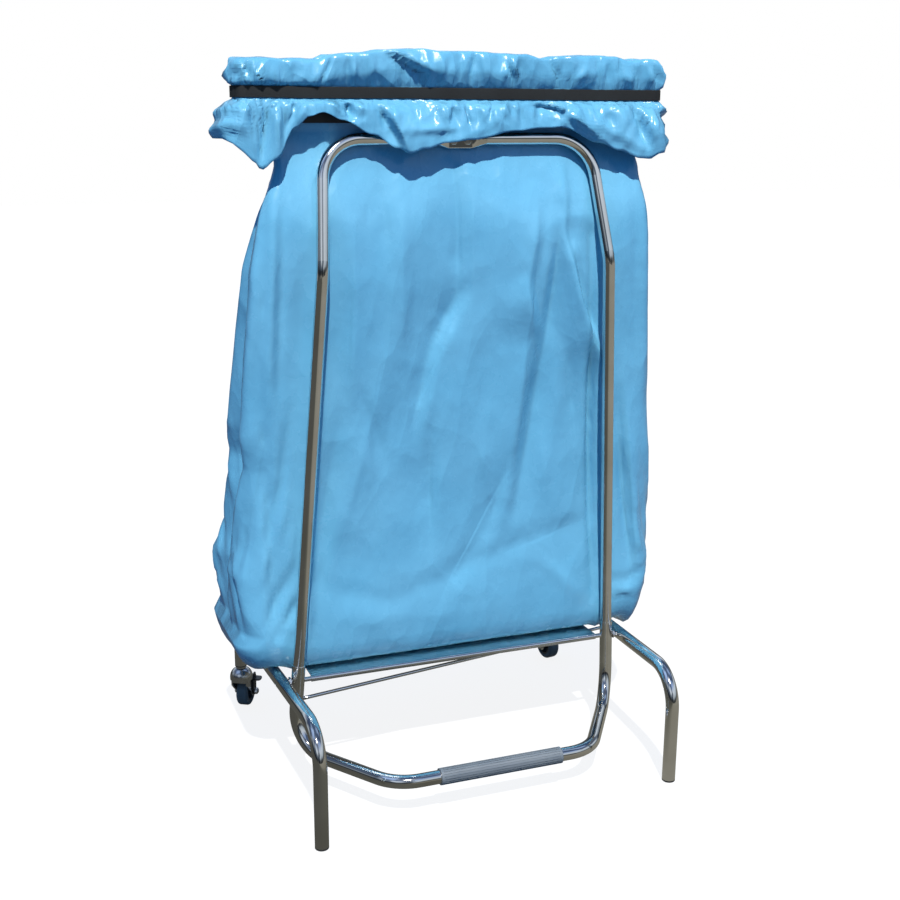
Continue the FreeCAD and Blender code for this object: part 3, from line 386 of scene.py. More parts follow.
def draw_rings(mesh, rings):
    """Skin over rings of points: a circle is set on the first ring and extruded to each of the next."""
    count = len(rings[0])
    loop = list(bmesh.ops.create_circle(mesh, cap_ends=False, radius=1.0, segments=count)["verts"])
    for vert, point in zip(loop, rings[0]):
        vert.co = point
    for ring in rings[1:]:
        edges = [mesh.edges.get((loop[k], loop[(k + 1) % count])) for k in range(count)]
        grown = bmesh.ops.extrude_edge_only(mesh, edges=edges)["geom"]
        fresh = {item for item in grown if isinstance(item, bmesh.types.BMVert)}
        loop = [next(e.other_vert(v) for e in v.link_edges if e.other_vert(v) in fresh) for v in loop]
        for vert, point in zip(loop, ring):
            vert.co = point


# The bag's outline: half widths at heights to the left and the right, and depth of the front wall.

left_edge = [
    (200, 327), (225, 331), (262, 336), (300, 339), (326, 341), (371, 331), (441, 325), (492, 315),
    (540, 324), (622, 317), (729, 310), (772, 307), (849, 289), (916, 266), (940, 266), (955, 278),
    (968, 298),
]
right_edge = [
    (200, 336), (222, 345), (270, 349), (412, 337), (548, 325), (709, 308), (799, 301), (859, 297),
    (910, 289), (935, 279), (952, 282), (968, 298),
]
front_face = [
    (186, 22), (205, 12), (225, 9), (255, 8.5), (290, 10), (330, 11), (420, 8), (500, 4), (580, -0.5),
    (660, -5.5), (740, -10), (777, -11.5), (800, -11.5), (830, -10.5), (850, -8), (870, -3), (890, 4),
    (915, 13), (940, 18.5), (968, 20),
]

# The bag's body between its bottom and the mouth
body_low, neck_low, body_high = 232.0, 880, 966
body_step, neck_step = 8.5, 5.5
body_corner_r, neck_corner_r = 42, 16
neck_start, neck_end = 860, 948
calm_start, calm_end = 905, 945
neck_half_depth = 4.6
front_clearance, rear_clearance = 1.2, 1.6
deepest_valley = 20.5
most_bulge_rear, most_bulge_side = 1.0, 5.0
right_fold_shift_y, right_fold_shift_z = 12, 20

# Crumpled relief: size of its patches and height
large_crumple, small_crumple, collar_crumple = (120, 1.8), (45, 0.9), (24, 2.6)

# Points of a ring, and how much closer together they lie along the front
ring_points = 300
front_crowding = 0.42

# Folds: start (x, z), end (x, z), depth outwards (minus is a valley), reach to the left and to the right.
front_folds = [
    (205, 730, 232, 290, -18, 6, 5), (-211, 760, -238, 260, 16, 12, 6),
    (-9, 900, -7, 726, -13, 40, 10), (-7, 728, -46, 652, -15, 34, 8), (-46, 655, -70, 540, -11, 30, 8),
    (-120, 895, -112, 784, -5, 22, 14), (-168, 841, -161, 730, 6, 12, 22), (-161, 735, -170, 597, 7, 12, 20),
    (-94, 847, -92, 684, 5, 20, 9), (-150, 590, -120, 500, -5, 18, 9), (112, 850, 94, 733, 11, 28, 8),
    (94, 740, 106, 684, 11, 28, 8), (106, 690, 79, 443, 10, 30, 9), (147, 830, 140, 697, -13, 8, 18),
    (140, 700, 104, 441, -11, 9, 18), (60, 905, 66, 740, 5, 14, 20), (157, 895, 153, 816, 9, 20, 6),
    (153, 818, 181, 719, 18, 30, 5), (181, 722, 228, 622, 17, 24, 5), (150, 838, 198, 842, 3, 6, 8),
    (182, 770, 196, 700, -5, 6, 6), (172, 800, 178, 780, 3, 5, 5), (79, 470, 52, 371, -7, 20, 9),
    (52, 374, -28, 256, -4, 14, 12), (223, 363, 108, 338, -3, 14, 16), (108, 340, -25, 294, -3, 14, 14),
    (-25, 296, -110, 267, -2.5, 12, 14), (-203, 301, -110, 267, -3, 14, 12), (-43, 520, -43, 381, -9, 34, 7),
    (-186, 544, -220, 350, -7, 20, 9), (-138, 555, -178, 407, 6, 12, 16), (130, 520, 150, 400, 5, 12, 20),
    (20, 560, 44, 440, 4, 22, 9), (-190, 250, 60, 226, 1.6, 10, 10), (150, 300, 210, 236, 3, 9, 7),
    (-200, 420, -214, 300, -6, 12, 7), (170, 640, 190, 520, -5, 12, 9), (-285, 905, -303, 640, -6, 4, 8),
    (-274, 890, -290, 600, 6, 4, 8), (-262, 860, -272, 640, -4, 7, 5), (-300, 600, -286, 300, -9, 6, 9),
    (-262, 330, -300, 250, -9, 7, 7), (-240, 300, -282, 238, -8, 6, 6), (-268, 440, -300, 340, 7, 6, 9),
    (-262, 540, -284, 380, -7, 7, 5), (-256, 420, -262, 330, 5, 5, 5), (-250, 236, -300, 214, -6, 6, 6),
    (271, 540, 306, 330, 9, 3, 20), (268, 530, 300, 300, -9, 9, 3), (306, 330, 322, 258, 7, 4, 14),
    (292, 250, 336, 276, -7, 5, 7), (270, 900, 288, 620, -4, 7, 9), (290, 760, 300, 560, 4, 8, 10),
    (280, 236, 330, 222, 5, 6, 6), (250, 250, 290, 258, -5, 6, 6),
]

# Of a side wall, x is the depth behind the axle.
side_folds = [
    (34, 900, 44, 760, -12, 12, 12), (44, 760, 70, 560, -17, 18, 18), (70, 560, 104, 400, -20, 22, 22),
    (104, 400, 130, 262, -16, 22, 22), (20, 520, 66, 360, 9, 5, 12), (10, 470, 40, 330, -8, 8, 5),
    (150, 560, 120, 430, 8, 10, 6), (190, 430, 150, 330, -9, 10, 7), (200, 340, 160, 250, 8, 8, 8),
    (60, 330, 30, 236, -8, 7, 7), (90, 300, 84, 214, 6, 7, 7), (170, 300, 210, 220, -8, 8, 6),
    (230, 420, 200, 300, 6, 7, 9), (0, 700, 14, 560, 6, 5, 9), (110, 700, 140, 560, -7, 7, 9),
]

# Folds of the turned-over film above the strap, then of the skirt below it
collar_folds = [
    (-320, 1052, -306, 1020, -5, 3, 3), (-312, 1054, -300, 1020, 5, 2.5, 3),
    (-306, 1052, -294, 1020, -6, 2.5, 3), (-297, 1050, -282, 1020, 5, 2.5, 4),
    (-290, 1046, -276, 1019, -6, 2.5, 3), (-270, 1048, -264, 1020, 3, 5, 5),
    (-238, 1050, -240, 1020, -4, 5, 7), (-187, 1054, -207, 1019, -8, 2.5, 6),
    (-196, 1040, -212, 1019, 4, 5, 3), (-165, 1052, -166, 1019, -6, 2.5, 3),
    (-156, 1050, -155, 1019, 4, 3, 3), (-112, 1066, -66, 1040, -11, 12, 3),
    (-66, 1040, -30, 1018, -10, 10, 3), (-104, 1068, -20, 1022, 7, 4, 20),
    (-84, 1056, -50, 1042, 4, 5, 6), (67, 1052, 84, 1018, -9, 3, 4),
    (74, 1054, 92, 1018, 5, 3, 5), (134, 1056, 152, 1020, -9, 3, 4),
    (176, 1046, 154, 1018, -7, 3, 4), (186, 1044, 170, 1020, 5, 4, 5),
    (207, 1060, 212, 1034, -6, 3, 3), (225, 1050, 224, 1019, -5, 3, 3),
    (235, 1048, 235, 1019, 4, 3, 3), (244, 1050, 245, 1020, -5, 3, 3),
    (278, 1052, 268, 1022, -5, 3, 5), (298, 1054, 312, 1020, -6, 2.5, 3),
    (308, 1050, 318, 1022, 5, 2.5, 3), (318, 1054, 300, 1028, -5, 3, 3),
    (290, 1048, 304, 1020, 4, 3, 3), (20, 1060, 30, 1022, -4, 8, 8),
    (-60, 1040, -66, 1018, 3, 6, 6),
    (-276, 1001, -290, 922, -14, 3, 6), (-266, 1000, -271, 932, 11, 4, 7),
    (-256, 1000, -258, 950, -9, 3, 4), (-247, 1001, -246, 972, 6, 3, 4),
    (-304, 1000, -318, 945, 7, 5, 8), (-292, 1001, -306, 940, -6, 4, 4),
    (-238, 1000, -250, 968, -8, 3, 4), (-225, 1001, -236, 976, 5, 4, 8),
    (-166, 1001, -166, 980, -8, 2, 5), (-150, 1001, -148, 985, 4, 4, 6),
    (-122, 1001, -88, 936, 9, 3, 24), (-128, 1001, -94, 940, -5, 7, 3),
    (-80, 962, -18, 964, 5, 6, 4), (-10, 1001, -24, 958, -6, 7, 12),
    (14, 1001, 2, 972, 4, 5, 7), (96, 1001, 150, 987, -10, 5, 3),
    (150, 989, 210, 950, 10, 4, 9), (150, 991, 292, 930, 5, 5, 9),
    (262, 1001, 282, 946, -11, 3, 6), (272, 1001, 296, 940, 7, 3, 8),
    (302, 1001, 320, 950, -8, 4, 5), (290, 1001, 304, 928, 6, 4, 8),
    (40, 1001, 52, 965, 4, 6, 12), (66, 1001, 88, 974, -4, 5, 5),
    (200, 1001, 214, 975, -5, 5, 7), (232, 1001, 240, 962, 4, 5, 7),
]

# Short gathers above the strap and pleats below it, spread at random
gather_count = 60
gather_reach_x = 322
gather_top, gather_end = 1056, 1012
pleat_top, pleat_end_low, pleat_end_high = 1002, 966, 984


def random_gathers():
    chance = random.Random(11)
    folds = []
    for pair in range(gather_count):
        x = chance.uniform(-gather_reach_x, gather_reach_x)
        folds.append((x, gather_top, x + chance.uniform(-14, 14), gather_end, chance.uniform(-5.5, 4.0),
                      chance.uniform(1.6, 6), chance.uniform(1.6, 6)))
        x = chance.uniform(-gather_reach_x, gather_reach_x)
        folds.append((x, pleat_top, x + chance.uniform(-18, 18),
                      chance.uniform(pleat_end_low, pleat_end_high), chance.uniform(-5.0, 4.0),
                      chance.uniform(1.6, 5), chance.uniform(1.6, 5)))
    return folds


def turned_round(folds):
    """The same folds for a wall that is seen from behind."""
    return [(-x0, z0, -x1, z1, depth, right, left) for x0, z0, x1, z1, depth, left, right in folds]


collar_folds += random_gathers()
back_collar_folds = turned_round(collar_folds)
first_rear_fold, last_rear_fold = 7, 34
rear_folds = turned_round(front_folds[first_rear_fold:last_rear_fold])

# Height of the turned-over film's top and of the skirt's edge, along the front and the back
crown = [
    (-316, 1053.6), (-300, 1054.5), (-245, 1053.6), (-205, 1054), (-190, 1059), (-141, 1063), (-105, 1067.5),
    (-65, 1069.5), (-20, 1067), (19, 1067.5), (60, 1066), (95, 1065), (128, 1059.5), (150, 1063),
    (197, 1065.5), (234, 1065), (262, 1060), (286, 1062), (305, 1061), (316, 1054),
]
front_hem = [
    (-316, 952), (-300, 922), (-289, 911), (-270, 925), (-240, 966), (-222, 980), (-202, 985), (-175, 975),
    (-133, 956), (-100, 938), (-84, 931), (-60, 937), (-26, 945), (12, 949), (80, 961), (120, 965),
    (150, 966), (207, 944), (240, 933), (273, 922), (290, 921), (306, 930), (316, 938),
]
back_hem = [
    (-316, 950), (-240, 930), (-150, 958), (-60, 928), (40, 952), (140, 932), (230, 960), (316, 938),
]

# Rings over the jaws, from inside the mouth: distance out, drop below the crown, share of the folds
over_the_jaws = [
    (-3.0, 7.0, 0.2), (-1.0, 1.5, 0.3), (2.0, 0.0, 0.45), (4.6, 1.5, 0.7), (6.4, 4.5, 0.9), (7.6, 9.0, 1.1),
    (8.6, 14.0, 1.2), (9.3, 19.0, 1.2), (9.8, 24.0, 1.2), (9.4, 28.5, 1.1), (7.8, 32.0, 0.9),
]

# Rings pinched by the strap: height, distance out
under_the_strap = [
    (1019.5, 3.4), (1018.2, 2.2), (1014.0, 1.9), (1009.0, 1.9), (1004.5, 1.9), (1003.0, 2.2), (1001.5, 3.4),
]
above_the_strap_z = 1021.5
least_free_drop = 8
film_on_jaw = 1.2
most_inward = -6

# Skirt below the strap
skirt_top, skirt_steps = 1001.0, 15
skirt_out = 3.4
skirt_flare, tongue_flare = 14, 8
tongue_high, tongue_low = 960, 930
left_end_flare, right_end_flare = 7, -5
flare_delay = 0.12
skirt_fold_share = 1.15
film_under_strap = 2.2

# Rings inside the mouth, between the jaws
mouth_heights = (978.0, 990.0, 1010.0, 1030.0, 1044.0)
film_inside_jaw = 2.6

# Rings of the bag's bottom: half width, front, rear, corner radius, lift of its middle and of its sides
shelf_shares = (0.08, 0.3, 0.55, 0.8)
bottom_rings = [
    (250, 48, 236, 44, 0.3, 0.3), (264, 46.5, 237, 44, 0.5, 0.5), (276, 45, 238, 44, 0.8, 0.9),
    (288, 43, 239, 44, 1.2, 1.3), (299, 40, 240, 44, 1.8, 1.0), (308, 35.5, 241, 44, 3.0, 0),
    (316, 27, 242, 43, 5, 4), (322, 20.5, 243, 43, 11, 12), (327, 15.5, 244, 43, 19, 22),
    (331, 12, 244, 42, 29, 33), (334, 10, 244, 42, 40, 44), (336, 9.2, 244, 42, 51, 54),
]

# Height of the bottom over the shelf and the side tubes, from the middle outwards
underside = [
    (0, 0.8), (238, 0.8), (250, -3.5), (262, 0.5), (271, 5.2), (281, 6.8), (291, 6.2), (301, 2.5), (312, -2),
]
film_thickness = 0.4


def ring_share(k):
    """Share of the way round for point k."""
    t = k / ring_points
    return t + front_crowding * math.sin(2 * math.pi * t) / (2 * math.pi)


def front_tube(z):
    """Half distance and depth of the front frame's tubes at height z."""
    if z > kink_z:
        share = (z - kink_z) / (top_z - kink_z)
        return kink_x + (top_x - kink_x) * share, kink_y + (top_y - kink_y) * share
    share = (z - axle_z) / (kink_z - axle_z)
    return pivot_x + (kink_x - pivot_x) * share, kink_y * share


def rear_tube(z):
    """Depth of the rear uprights at height z."""
    share = (max(z, upright_bend_z) - upright_bend_z) / (top_z - upright_bend_z)
    return upright_y - (upright_y - upright_top_y) * share


def fold_height(folds, x, z):
    """Sum of the folds at a point of a wall. Each has a sharp back, hollow flanks and tapering ends."""
    far_off, run_out, taper, flank, hollow = 90, 0.35, 0.7, 2.1, 1.25
    total = 0.0
    for x0, z0, x1, z1, depth, left, right in folds:
        if not min(z0, z1) - far_off < z < max(z0, z1) + far_off:
            continue
        dx, dz = x1 - x0, z1 - z0
        length = math.hypot(dx, dz)
        share = ((x - x0) * dx + (z - z0) * dz) / (length * length)
        across = ((x - x0) * dz - (z - z0) * dx) / length
        if dz < 0:
            across = -across
        reach = flank * (right if across > 0 else left)
        if abs(across) > reach or not -run_out < share < 1 + run_out:
            continue
        ends = min(1.0, (share + run_out) / taper, (1 + run_out - share) / taper)
        total += depth * (1 - abs(across) / reach) ** hollow * ends
    return total


def crumple(x, y, z, size, height):
    """Irregular creases: sharp ridges where either of two slow patterns passes through zero."""
    slow = noise.noise(Vector((x / size, y / size, z / (2.6 * size))))
    other = noise.noise(Vector((0.8 * x / size + 7, y / size, 0.8 * z / size - 0.5 * x / size)))
    return height * (0.85 - 1.6 * abs(slow) - 1.1 * abs(other))


def body_ring(z):
    """One ring of the bag's body at height z."""
    left, right = straight(left_edge, z), straight(right_edge, z)
    half, shift = (left + right) / 2, (right - left) / 2
    neck = smooth_step(neck_start, neck_end, z)
    front = curve(front_face, z)
    tube_x, tube_y = front_tube(z)
    spare = front - (tube_y + tube_r + front_clearance)
    wall = rear_tube(z) - tube_r - rear_clearance
    rear = wall + (mouth_y + neck_half_depth - wall) * neck
    narrowing = (body_corner_r - neck_corner_r) * smooth_step(300, neck_low, z)
    radius = min(body_corner_r - narrowing, (rear - front) / 2 - 0.2)
    calm = (1 - smooth_step(calm_start, calm_end, z)) * (0.4 + 0.6 * smooth_step(200, 300, z))
    ring = []
    for k in range(ring_points):
        x, y, nx, ny = round_the_outline(ring_share(k), half, front, rear, radius, shift)
        push = crumple(x, y, z, *large_crumple) + crumple(x + 500, y, z, *small_crumple)
        if ny < -0.3:
            push += fold_height(front_folds, x, z)
            gap = abs(abs(x) - tube_x)
            push = min(push, max(0.0, spare) + 1.5 * max(0.0, gap - tube_r - 1))
            push = max(push, min(0.0, front - deepest_valley))
        elif ny > 0.3:
            push = min(push + fold_height(rear_folds, x, z), most_bulge_rear)
        if abs(nx) > 0.2:
            shift_y, shift_z = (0, 0) if nx < 0 else (right_fold_shift_y, right_fold_shift_z)
            fold = fold_height(side_folds, y + shift_y, z + shift_z)
            push = min(push * 0.6 + abs(nx) * fold, most_bulge_side)
        ring.append(spot(x + nx * push * calm, y + ny * push * calm, z))
    return ring


def sag(x, y):
    """How far the film hangs down outside the side tubes: most at the rear."""
    outside = smooth_step(296, 322, abs(x))
    towards_rear = 12 * smooth_step(90, 225, y)
    return outside * (towards_rear + (-5 if x < 0 else 13))


def bottom_ring(half, front, rear, radius, lift, side_lift):
    """One ring of the bag's bottom, with the lift of its middle and of its sides."""
    ring = []
    for k in range(ring_points):
        x, y, nx, ny = round_the_outline(ring_share(k), half, front, rear, radius)
        x += smooth_step(260, 340, abs(x)) * (5 if x > 0 else -6)
        side = smooth_step(255, 315, abs(x))
        z = shelf_z - side_slope * y + straight(underside, abs(x)) + lift
        z += (side_lift - lift) * side - sag(x, y) * side * (1 - smooth_step(0, 55, side_lift))
        if lift + side_lift > 4:
            z += 0.8 * noise.noise(Vector((x / 40, y / 40, 3)))
        ring.append(spot(x, y, z))
    return ring


def mouth_ring(z):
    """One ring inside the mouth, against the jaws."""
    half_depth = jaw_rear - mouth_y - film_inside_jaw
    ring = []
    for k in range(ring_points):
        x, y, nx, ny = round_the_outline(ring_share(k), jaw_half_w - film_inside_jaw, mouth_y - half_depth,
                                         mouth_y + half_depth, half_depth - 0.6)
        ring.append(spot(x, y, z))
    return ring


def collar_ring(grow, height):
    """Ring round the jaws; height(x, back) gives its height and grow(x, nx, ny, z) its distance out."""
    ring = []
    for k in range(ring_points):
        x, y, nx, ny = round_the_outline(ring_share(k), jaw_half_w, jaw_front, jaw_rear, jaw_corner_r)
        z = height(x, smooth_step(-0.9, 0.9, ny))
        push = grow(x, nx, ny, z)
        ring.append(spot(x + nx * push, y + ny * push, z))
    return ring


def collar_push(x, nx, ny, z, share):
    """Folds of the turned-over film at a point, share of their full depth."""
    push = fold_height(collar_folds if ny < 0.3 else back_collar_folds, x, z)
    if abs(nx) > 0.5:
        push += 3.0 * math.sin(z / 4.0 + 3 * ny)
    push += crumple(x + 900, 300 * ny, z, *collar_crumple)
    return push * share


def crown_height(x, back):
    return along(crown, x) + 1.5 * back + 1.2 * noise.noise(Vector((x / 22, back, 5)))


def hem_height(x, back):
    return along(front_hem, x) * (1 - back) + along(back_hem, x) * back


def upper_collar():
    """Rings from inside the mouth over the jaws and down under the strap."""
    rings = []
    for out, drop, share in over_the_jaws:
        lowest = above_the_strap_z if drop > least_free_drop else 0.0
        least = film_on_jaw if out > 0 else most_inward

        def height(x, back, drop=drop, lowest=lowest):
            return max(lowest, crown_height(x, back) - drop)

        def grow(x, nx, ny, z, out=out, share=share, least=least):
            return max(least, out + collar_push(x, nx, ny, z, share * (0.85 - 0.35 * abs(nx))))
        rings.append(collar_ring(grow, height))
    for level, out in under_the_strap:
        ripple = 0.45 if out < 3 else 0.72
        rings.append(collar_ring(lambda x, nx, ny, z: out + ripple * math.sin(x / 2.6),
                                 lambda x, back: level))
    return rings


def skirt_rings():
    """Rings of the flaring skirt from the strap to its wavy edge."""
    rings = []
    for step in range(1, skirt_steps + 1):
        t = step / skirt_steps

        def height(x, back, t=t):
            return skirt_top + (hem_height(x, back) - skirt_top) * t

        def grow(x, nx, ny, z, t=t):
            tongue = smooth_step(tongue_high, tongue_low, hem_height(x, 0))
            end_flare = left_end_flare if x < 0 else right_end_flare
            flare = skirt_flare + tongue_flare * tongue * (1 - abs(nx))
            flare += end_flare * smooth_step(0.4, 1.0, abs(nx))
            spread = (1 + flare_delay) * t / (t + flare_delay)
            waves = collar_push(x, nx, ny, z, skirt_fold_share * smooth_step(0, 0.25, t))
            return max(film_under_strap, skirt_out + flare * spread + waves)
        rings.append(collar_ring(grow, height))
    return rings


def film_bag():
    """The whole bag, from the middle of its bottom through the mouth to the edge of the skirt."""
    mesh = bmesh.new()
    rings = []
    for share in shelf_shares:
        rings.append(bottom_ring(shelf_half_w * share, shelf_middle_y - shelf_front_reach * share,
                                 shelf_middle_y + shelf_rear_reach * share, shelf_corner_r * share, 0, 0))
    rings += [bottom_ring(*row) for row in bottom_rings]
    z = body_low
    while z < body_high:
        rings.append(body_ring(z))
        z += body_step if z < neck_low else neck_step
    rings += [mouth_ring(height) for height in mouth_heights]
    rings += upper_collar()
    rings += skirt_rings()
    draw_rings(mesh, rings)
    middle = spot(0, shelf_middle_y, shelf_z - side_slope * shelf_middle_y)
    hole = [e for e in mesh.edges if e.is_boundary and (e.verts[0].co - middle).length < 0.05]
    bmesh.ops.holes_fill(mesh, edges=hole, sides=0)
    bmesh.ops.recalc_face_normals(mesh, faces=mesh.faces)
    bag = new_piece("film_bag", mesh, "bag_film")
    thickness = bag.modifiers.new("film", "SOLIDIFY")
    thickness.thickness = film_thickness / 1000
    thickness.offset = 0.0
    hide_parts("bag")
    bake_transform(bag)
    return bag


# Strap: its section as distance out from the jaws and height
strap_section = [
    (2.9, 1004.0), (2.9, 1018.0), (3.3, 1018.5), (4.3, 1018.5), (4.7, 1018.1), (4.7, 1003.9), (4.3, 1003.5),
    (3.3, 1003.5),
]


def strap_band():
    """Flat rubber strap, slightly wavy where it lies on the film."""
    mesh = bmesh.new()
    rings = []
    for out, level in strap_section:
        def grow(x, nx, ny, z, out=out):
            return out + 0.35 * noise.noise(Vector((x / 45, ny, 2)))

        def height(x, back, level=level):
            return level + 0.7 * noise.noise(Vector((x / 130, back, 8)))
        rings.append(collar_ring(grow, height))
    draw_rings(mesh, rings)
    ends = [e for e in mesh.edges if e.is_boundary]
    bmesh.ops.bridge_loops(mesh, edges=ends)
    bmesh.ops.recalc_face_normals(mesh, faces=mesh.faces)
    band = new_piece("strap_band", mesh, "strap_rubber")
    band.modifiers.new("flat_faces", "WEIGHTED_NORMAL")
    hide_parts("strap")
    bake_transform(band)
    return band


# Return rod, from inside the left pedal tube to the right side tube
rod_r = 2.75
rod_left_end = (-258.4, 2.06, axle_z - 32)
rod_right_end = (281.84, 35, 163.65)
rod_overrun = 8
rod_cuts = 24


def return_rod():
    """Thin sprung rod, cut across so that it can bend."""
    left, right = spot(*rod_left_end), spot(*rod_right_end)
    length = (right - left).length
    way = (right - left).normalized()
    mesh = bmesh.new()
    rod = bmesh.ops.create_cone(mesh, cap_ends=True, segments=24, radius1=rod_r / 1000, radius2=rod_r / 1000,
                                depth=length + rod_overrun / 1000)
    turn = Vector((0, 0, 1)).rotation_difference(way).to_matrix()
    bmesh.ops.rotate(mesh, verts=rod["verts"], cent=(0, 0, 0), matrix=turn)
    bmesh.ops.translate(mesh, verts=rod["verts"], vec=(left + right) / 2)
    for cut in range(1, rod_cuts):
        everything = list(mesh.verts) + list(mesh.edges) + list(mesh.faces)
        place = left + way * (length * cut / rod_cuts)
        bmesh.ops.bisect_plane(mesh, geom=everything, plane_co=place, plane_no=way)
    piece = new_piece("return_rod", mesh, "stainless")
    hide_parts("return_spring_rod")
    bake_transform(piece)
    return piece


# Camera: where the photograph was taken from, with its turns in degrees and its focal length in pixels
camera_place = (-656.3, -1712.6, 992.6)
camera_yaw, camera_pitch, camera_roll = 20.49, 15.07, 0.35
picture_width, focal_length = 900.0, 1273.0
sensor_width = 36.0


def photo_camera():
    yaw, pitch, roll = math.radians(camera_yaw), math.radians(camera_pitch), math.radians(camera_roll)
    ahead = Vector((math.sin(yaw), math.cos(yaw), 0))
    right = Vector((math.cos(yaw), -math.sin(yaw), 0))
    up = Vector((0, 0, 1))
    look = ahead * math.cos(pitch) - up * math.sin(pitch)
    rise = up * math.cos(pitch) + ahead * math.sin(pitch)
    side = right * math.cos(roll) + rise * math.sin(roll)
    top = rise * math.cos(roll) - right * math.sin(roll)
    data = bpy.data.cameras.new("camera")
    data.sensor_width = sensor_width
    data.lens = focal_length / picture_width * sensor_width
    camera = bpy.data.objects.new("camera", data)
    bpy.context.scene.collection.objects.link(camera)
    place = spot(*camera_place)
    camera.matrix_world = Matrix(((side.x, top.x, -look.x, place.x), (side.y, top.y, -look.y, place.y),
                                  (side.z, top.z, -look.z, place.z), (0, 0, 0, 1)))
    bpy.context.scene.camera = camera


def sun_lamp(heading, rise, power, softness, colour):
    """Distant light that shines along a heading right of straight ahead, down from a rise above the
    floor, both in degrees."""
    data = bpy.data.lights.new("key", "SUN")
    data.energy = power
    data.angle = math.radians(softness)
    data.color = colour
    lit = bpy.data.objects.new("key", data)
    bpy.context.scene.collection.objects.link(lit)
    turn, tilt = math.radians(heading), math.radians(rise)
    towards = Vector((math.sin(turn) * math.cos(tilt), math.cos(turn) * math.cos(tilt), -math.sin(tilt)))
    lit.rotation_euler = towards.to_track_quat("-Z", "Y").to_euler()


def glow(tree, kind, colour, strength=1.0):
    """Background or Emission shader; its colour is written or comes from a socket."""
    node = tree.nodes.new("ShaderNode" + kind)
    if isinstance(colour, tuple):
        node.inputs["Color"].default_value = (*colour, 1)
    else:
        tree.links.new(colour, node.inputs["Color"])
    node.inputs["Strength"].default_value = strength
    return node.outputs[kind]


def pick(tree, share, first, second):
    """Mix of two shaders; share is a number or a socket."""
    node = tree.nodes.new("ShaderNodeMixShader")
    if isinstance(share, float):
        node.inputs["Fac"].default_value = share
    else:
        tree.links.new(share, node.inputs["Fac"])
    tree.links.new(first, node.inputs[1])
    tree.links.new(second, node.inputs[2])
    return node.outputs["Shader"]


def world_light():
    """White behind the object, soft cool light on it, and a plain yard and sky for metal to mirror."""
    world = bpy.data.worlds.new("studio")
    bpy.context.scene.world = world
    world.use_nodes = True
    tree = world.node_tree
    tree.nodes.clear()
    place = tree.nodes.new("ShaderNodeTexCoord")
    apart = tree.nodes.new("ShaderNodeSeparateXYZ")
    tree.links.new(place.outputs["Generated"], apart.inputs["Vector"])
    sky = ramp(tree, between(tree, apart.outputs["Z"], -1.0, 1.0), [
        (0.40, (0.30, 0.29, 0.25)), (0.49, (0.24, 0.23, 0.20)), (0.515, (0.07, 0.075, 0.075)),
        (0.56, (0.09, 0.10, 0.11)), (0.61, (0.34, 0.40, 0.46)), (0.72, (0.50, 0.56, 0.64)),
        (0.84, (0.22, 0.32, 0.55)), (1.0, (0.40, 0.55, 0.85))])
    patch = tree.nodes.new("ShaderNodeTexNoise")
    patch.inputs["Scale"].default_value = 1.6
    patch.inputs["Detail"].default_value = 2.0
    tree.links.new(place.outputs["Generated"], patch.inputs["Vector"])
    shade = ramp(tree, patch.outputs["Fac"], [
        (0.42, (0.20, 0.23, 0.28)), (0.50, grey(0.75)), (0.56, grey(1.35))])
    mottled = tree.nodes.new("ShaderNodeMix")
    mottled.data_type = "RGBA"
    mottled.blend_type = "MULTIPLY"
    mottled.inputs[0].default_value = 1.0
    tree.links.new(sky, mottled.inputs[6])
    tree.links.new(shade, mottled.inputs[7])
    path = tree.nodes.new("ShaderNodeLightPath")
    fill = glow(tree, "Background", (0.18, 0.48, 1.0), 0.62)
    mirror = glow(tree, "Background", mottled.outputs[2])
    lit = pick(tree, path.outputs["Is Glossy Ray"], fill, mirror)
    seen = pick(tree, path.outputs["Is Camera Ray"], lit, glow(tree, "Background", grey(1.0)))
    out = tree.nodes.new("ShaderNodeOutputWorld")
    tree.links.new(seen, out.inputs["Surface"])


# Floor: half its width, how far it lies under the feet, and its yard's tones across the view
floor_reach = 12.0
floor_drop = 0.0005
yard_reach = 1.5
floor_shadow = 0.14


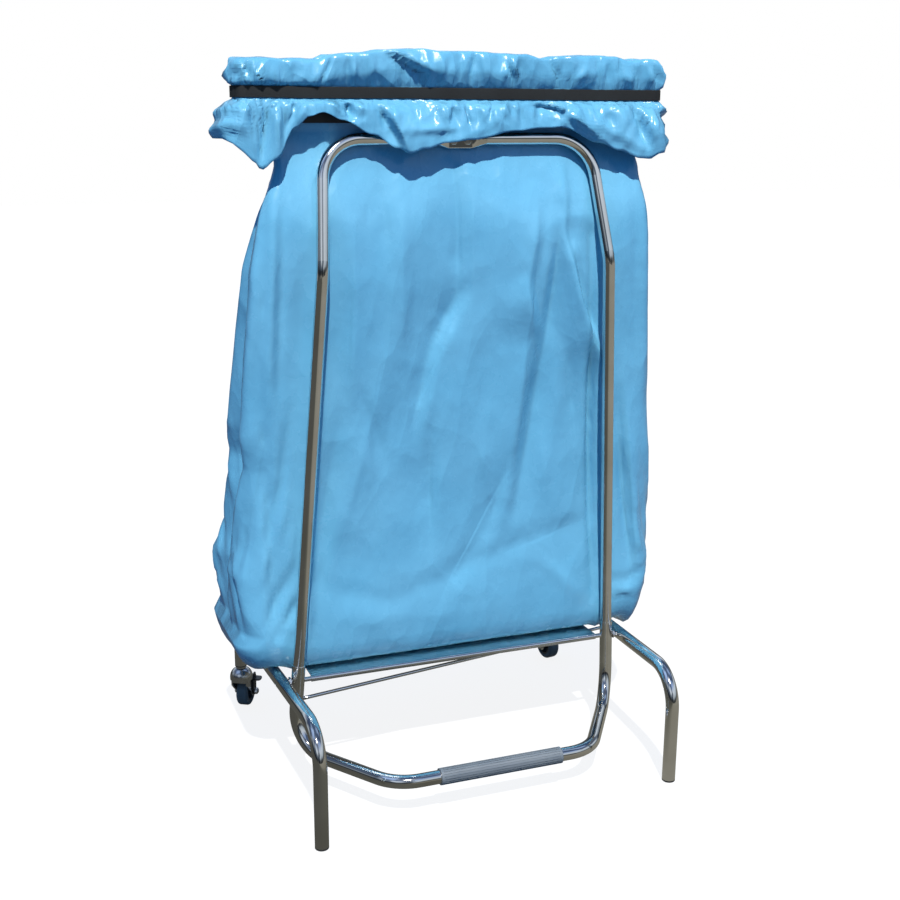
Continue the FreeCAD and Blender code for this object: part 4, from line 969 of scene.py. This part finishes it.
def pale_floor():
    """White floor that keeps a soft shadow; metal mirrors it as a grey yard, dark to the left."""
    mesh = bmesh.new()
    bmesh.ops.create_grid(mesh, x_segments=8, y_segments=8, size=floor_reach)
    data = bpy.data.meshes.new("pale_floor")
    mesh.to_mesh(data)
    mesh.free()
    floor = bpy.data.objects.new("pale_floor", data)
    bpy.context.scene.collection.objects.link(floor)
    floor.location = (0, 0, -floor_drop)
    material, tree, shader = new_material("pale_floor")
    shader.inputs["Base Color"].default_value = (0.8, 0.8, 0.8, 1)
    shader.inputs["Roughness"].default_value = 0.9
    shader.inputs["Specular IOR Level"].default_value = 0.0
    shadowed = pick(tree, 1 - floor_shadow, shader.outputs["BSDF"], glow(tree, "Emission", grey(0.0), 0.0))
    white = tree.nodes.new("ShaderNodeAddShader")
    tree.links.new(shadowed, white.inputs[0])
    tree.links.new(glow(tree, "Emission", grey(1.0), 0.88), white.inputs[1])
    place = tree.nodes.new("ShaderNodeTexCoord")
    across = tree.nodes.new("ShaderNodeVectorMath")
    across.operation = "DOT_PRODUCT"
    yaw = math.radians(camera_yaw)
    across.inputs[1].default_value = (math.cos(yaw), -math.sin(yaw), 0)
    tree.links.new(place.outputs["Object"], across.inputs[0])
    tint = ramp(tree, between(tree, across.outputs["Value"], -yard_reach, yard_reach), [
        (0.40, (0.09, 0.09, 0.08)), (0.52, (0.12, 0.12, 0.10)), (0.60, (0.26, 0.25, 0.21)),
        (0.95, (0.30, 0.29, 0.25))])
    dim = tree.nodes.new("ShaderNodeBsdfDiffuse")
    dim.inputs["Color"].default_value = (0.07, 0.11, 0.16, 1)
    path = tree.nodes.new("ShaderNodeLightPath")
    seen = pick(tree, path.outputs["Is Camera Ray"], dim.outputs["BSDF"], white.outputs["Shader"])
    mirrored = pick(tree, path.outputs["Is Glossy Ray"], seen, glow(tree, "Emission", tint))
    tree.links.new(mirrored, tree.nodes["Material Output"].inputs["Surface"])
    data.materials.append(material)


dress_frame()
film_bag()
strap_band()
return_rod()
photo_camera()
world_light()
pale_floor()
sun_lamp(heading=15, rise=56, power=5.3, softness=1.2, colour=(1.0, 0.98, 0.95))
bpy.context.scene.view_settings.view_transform = "Standard"
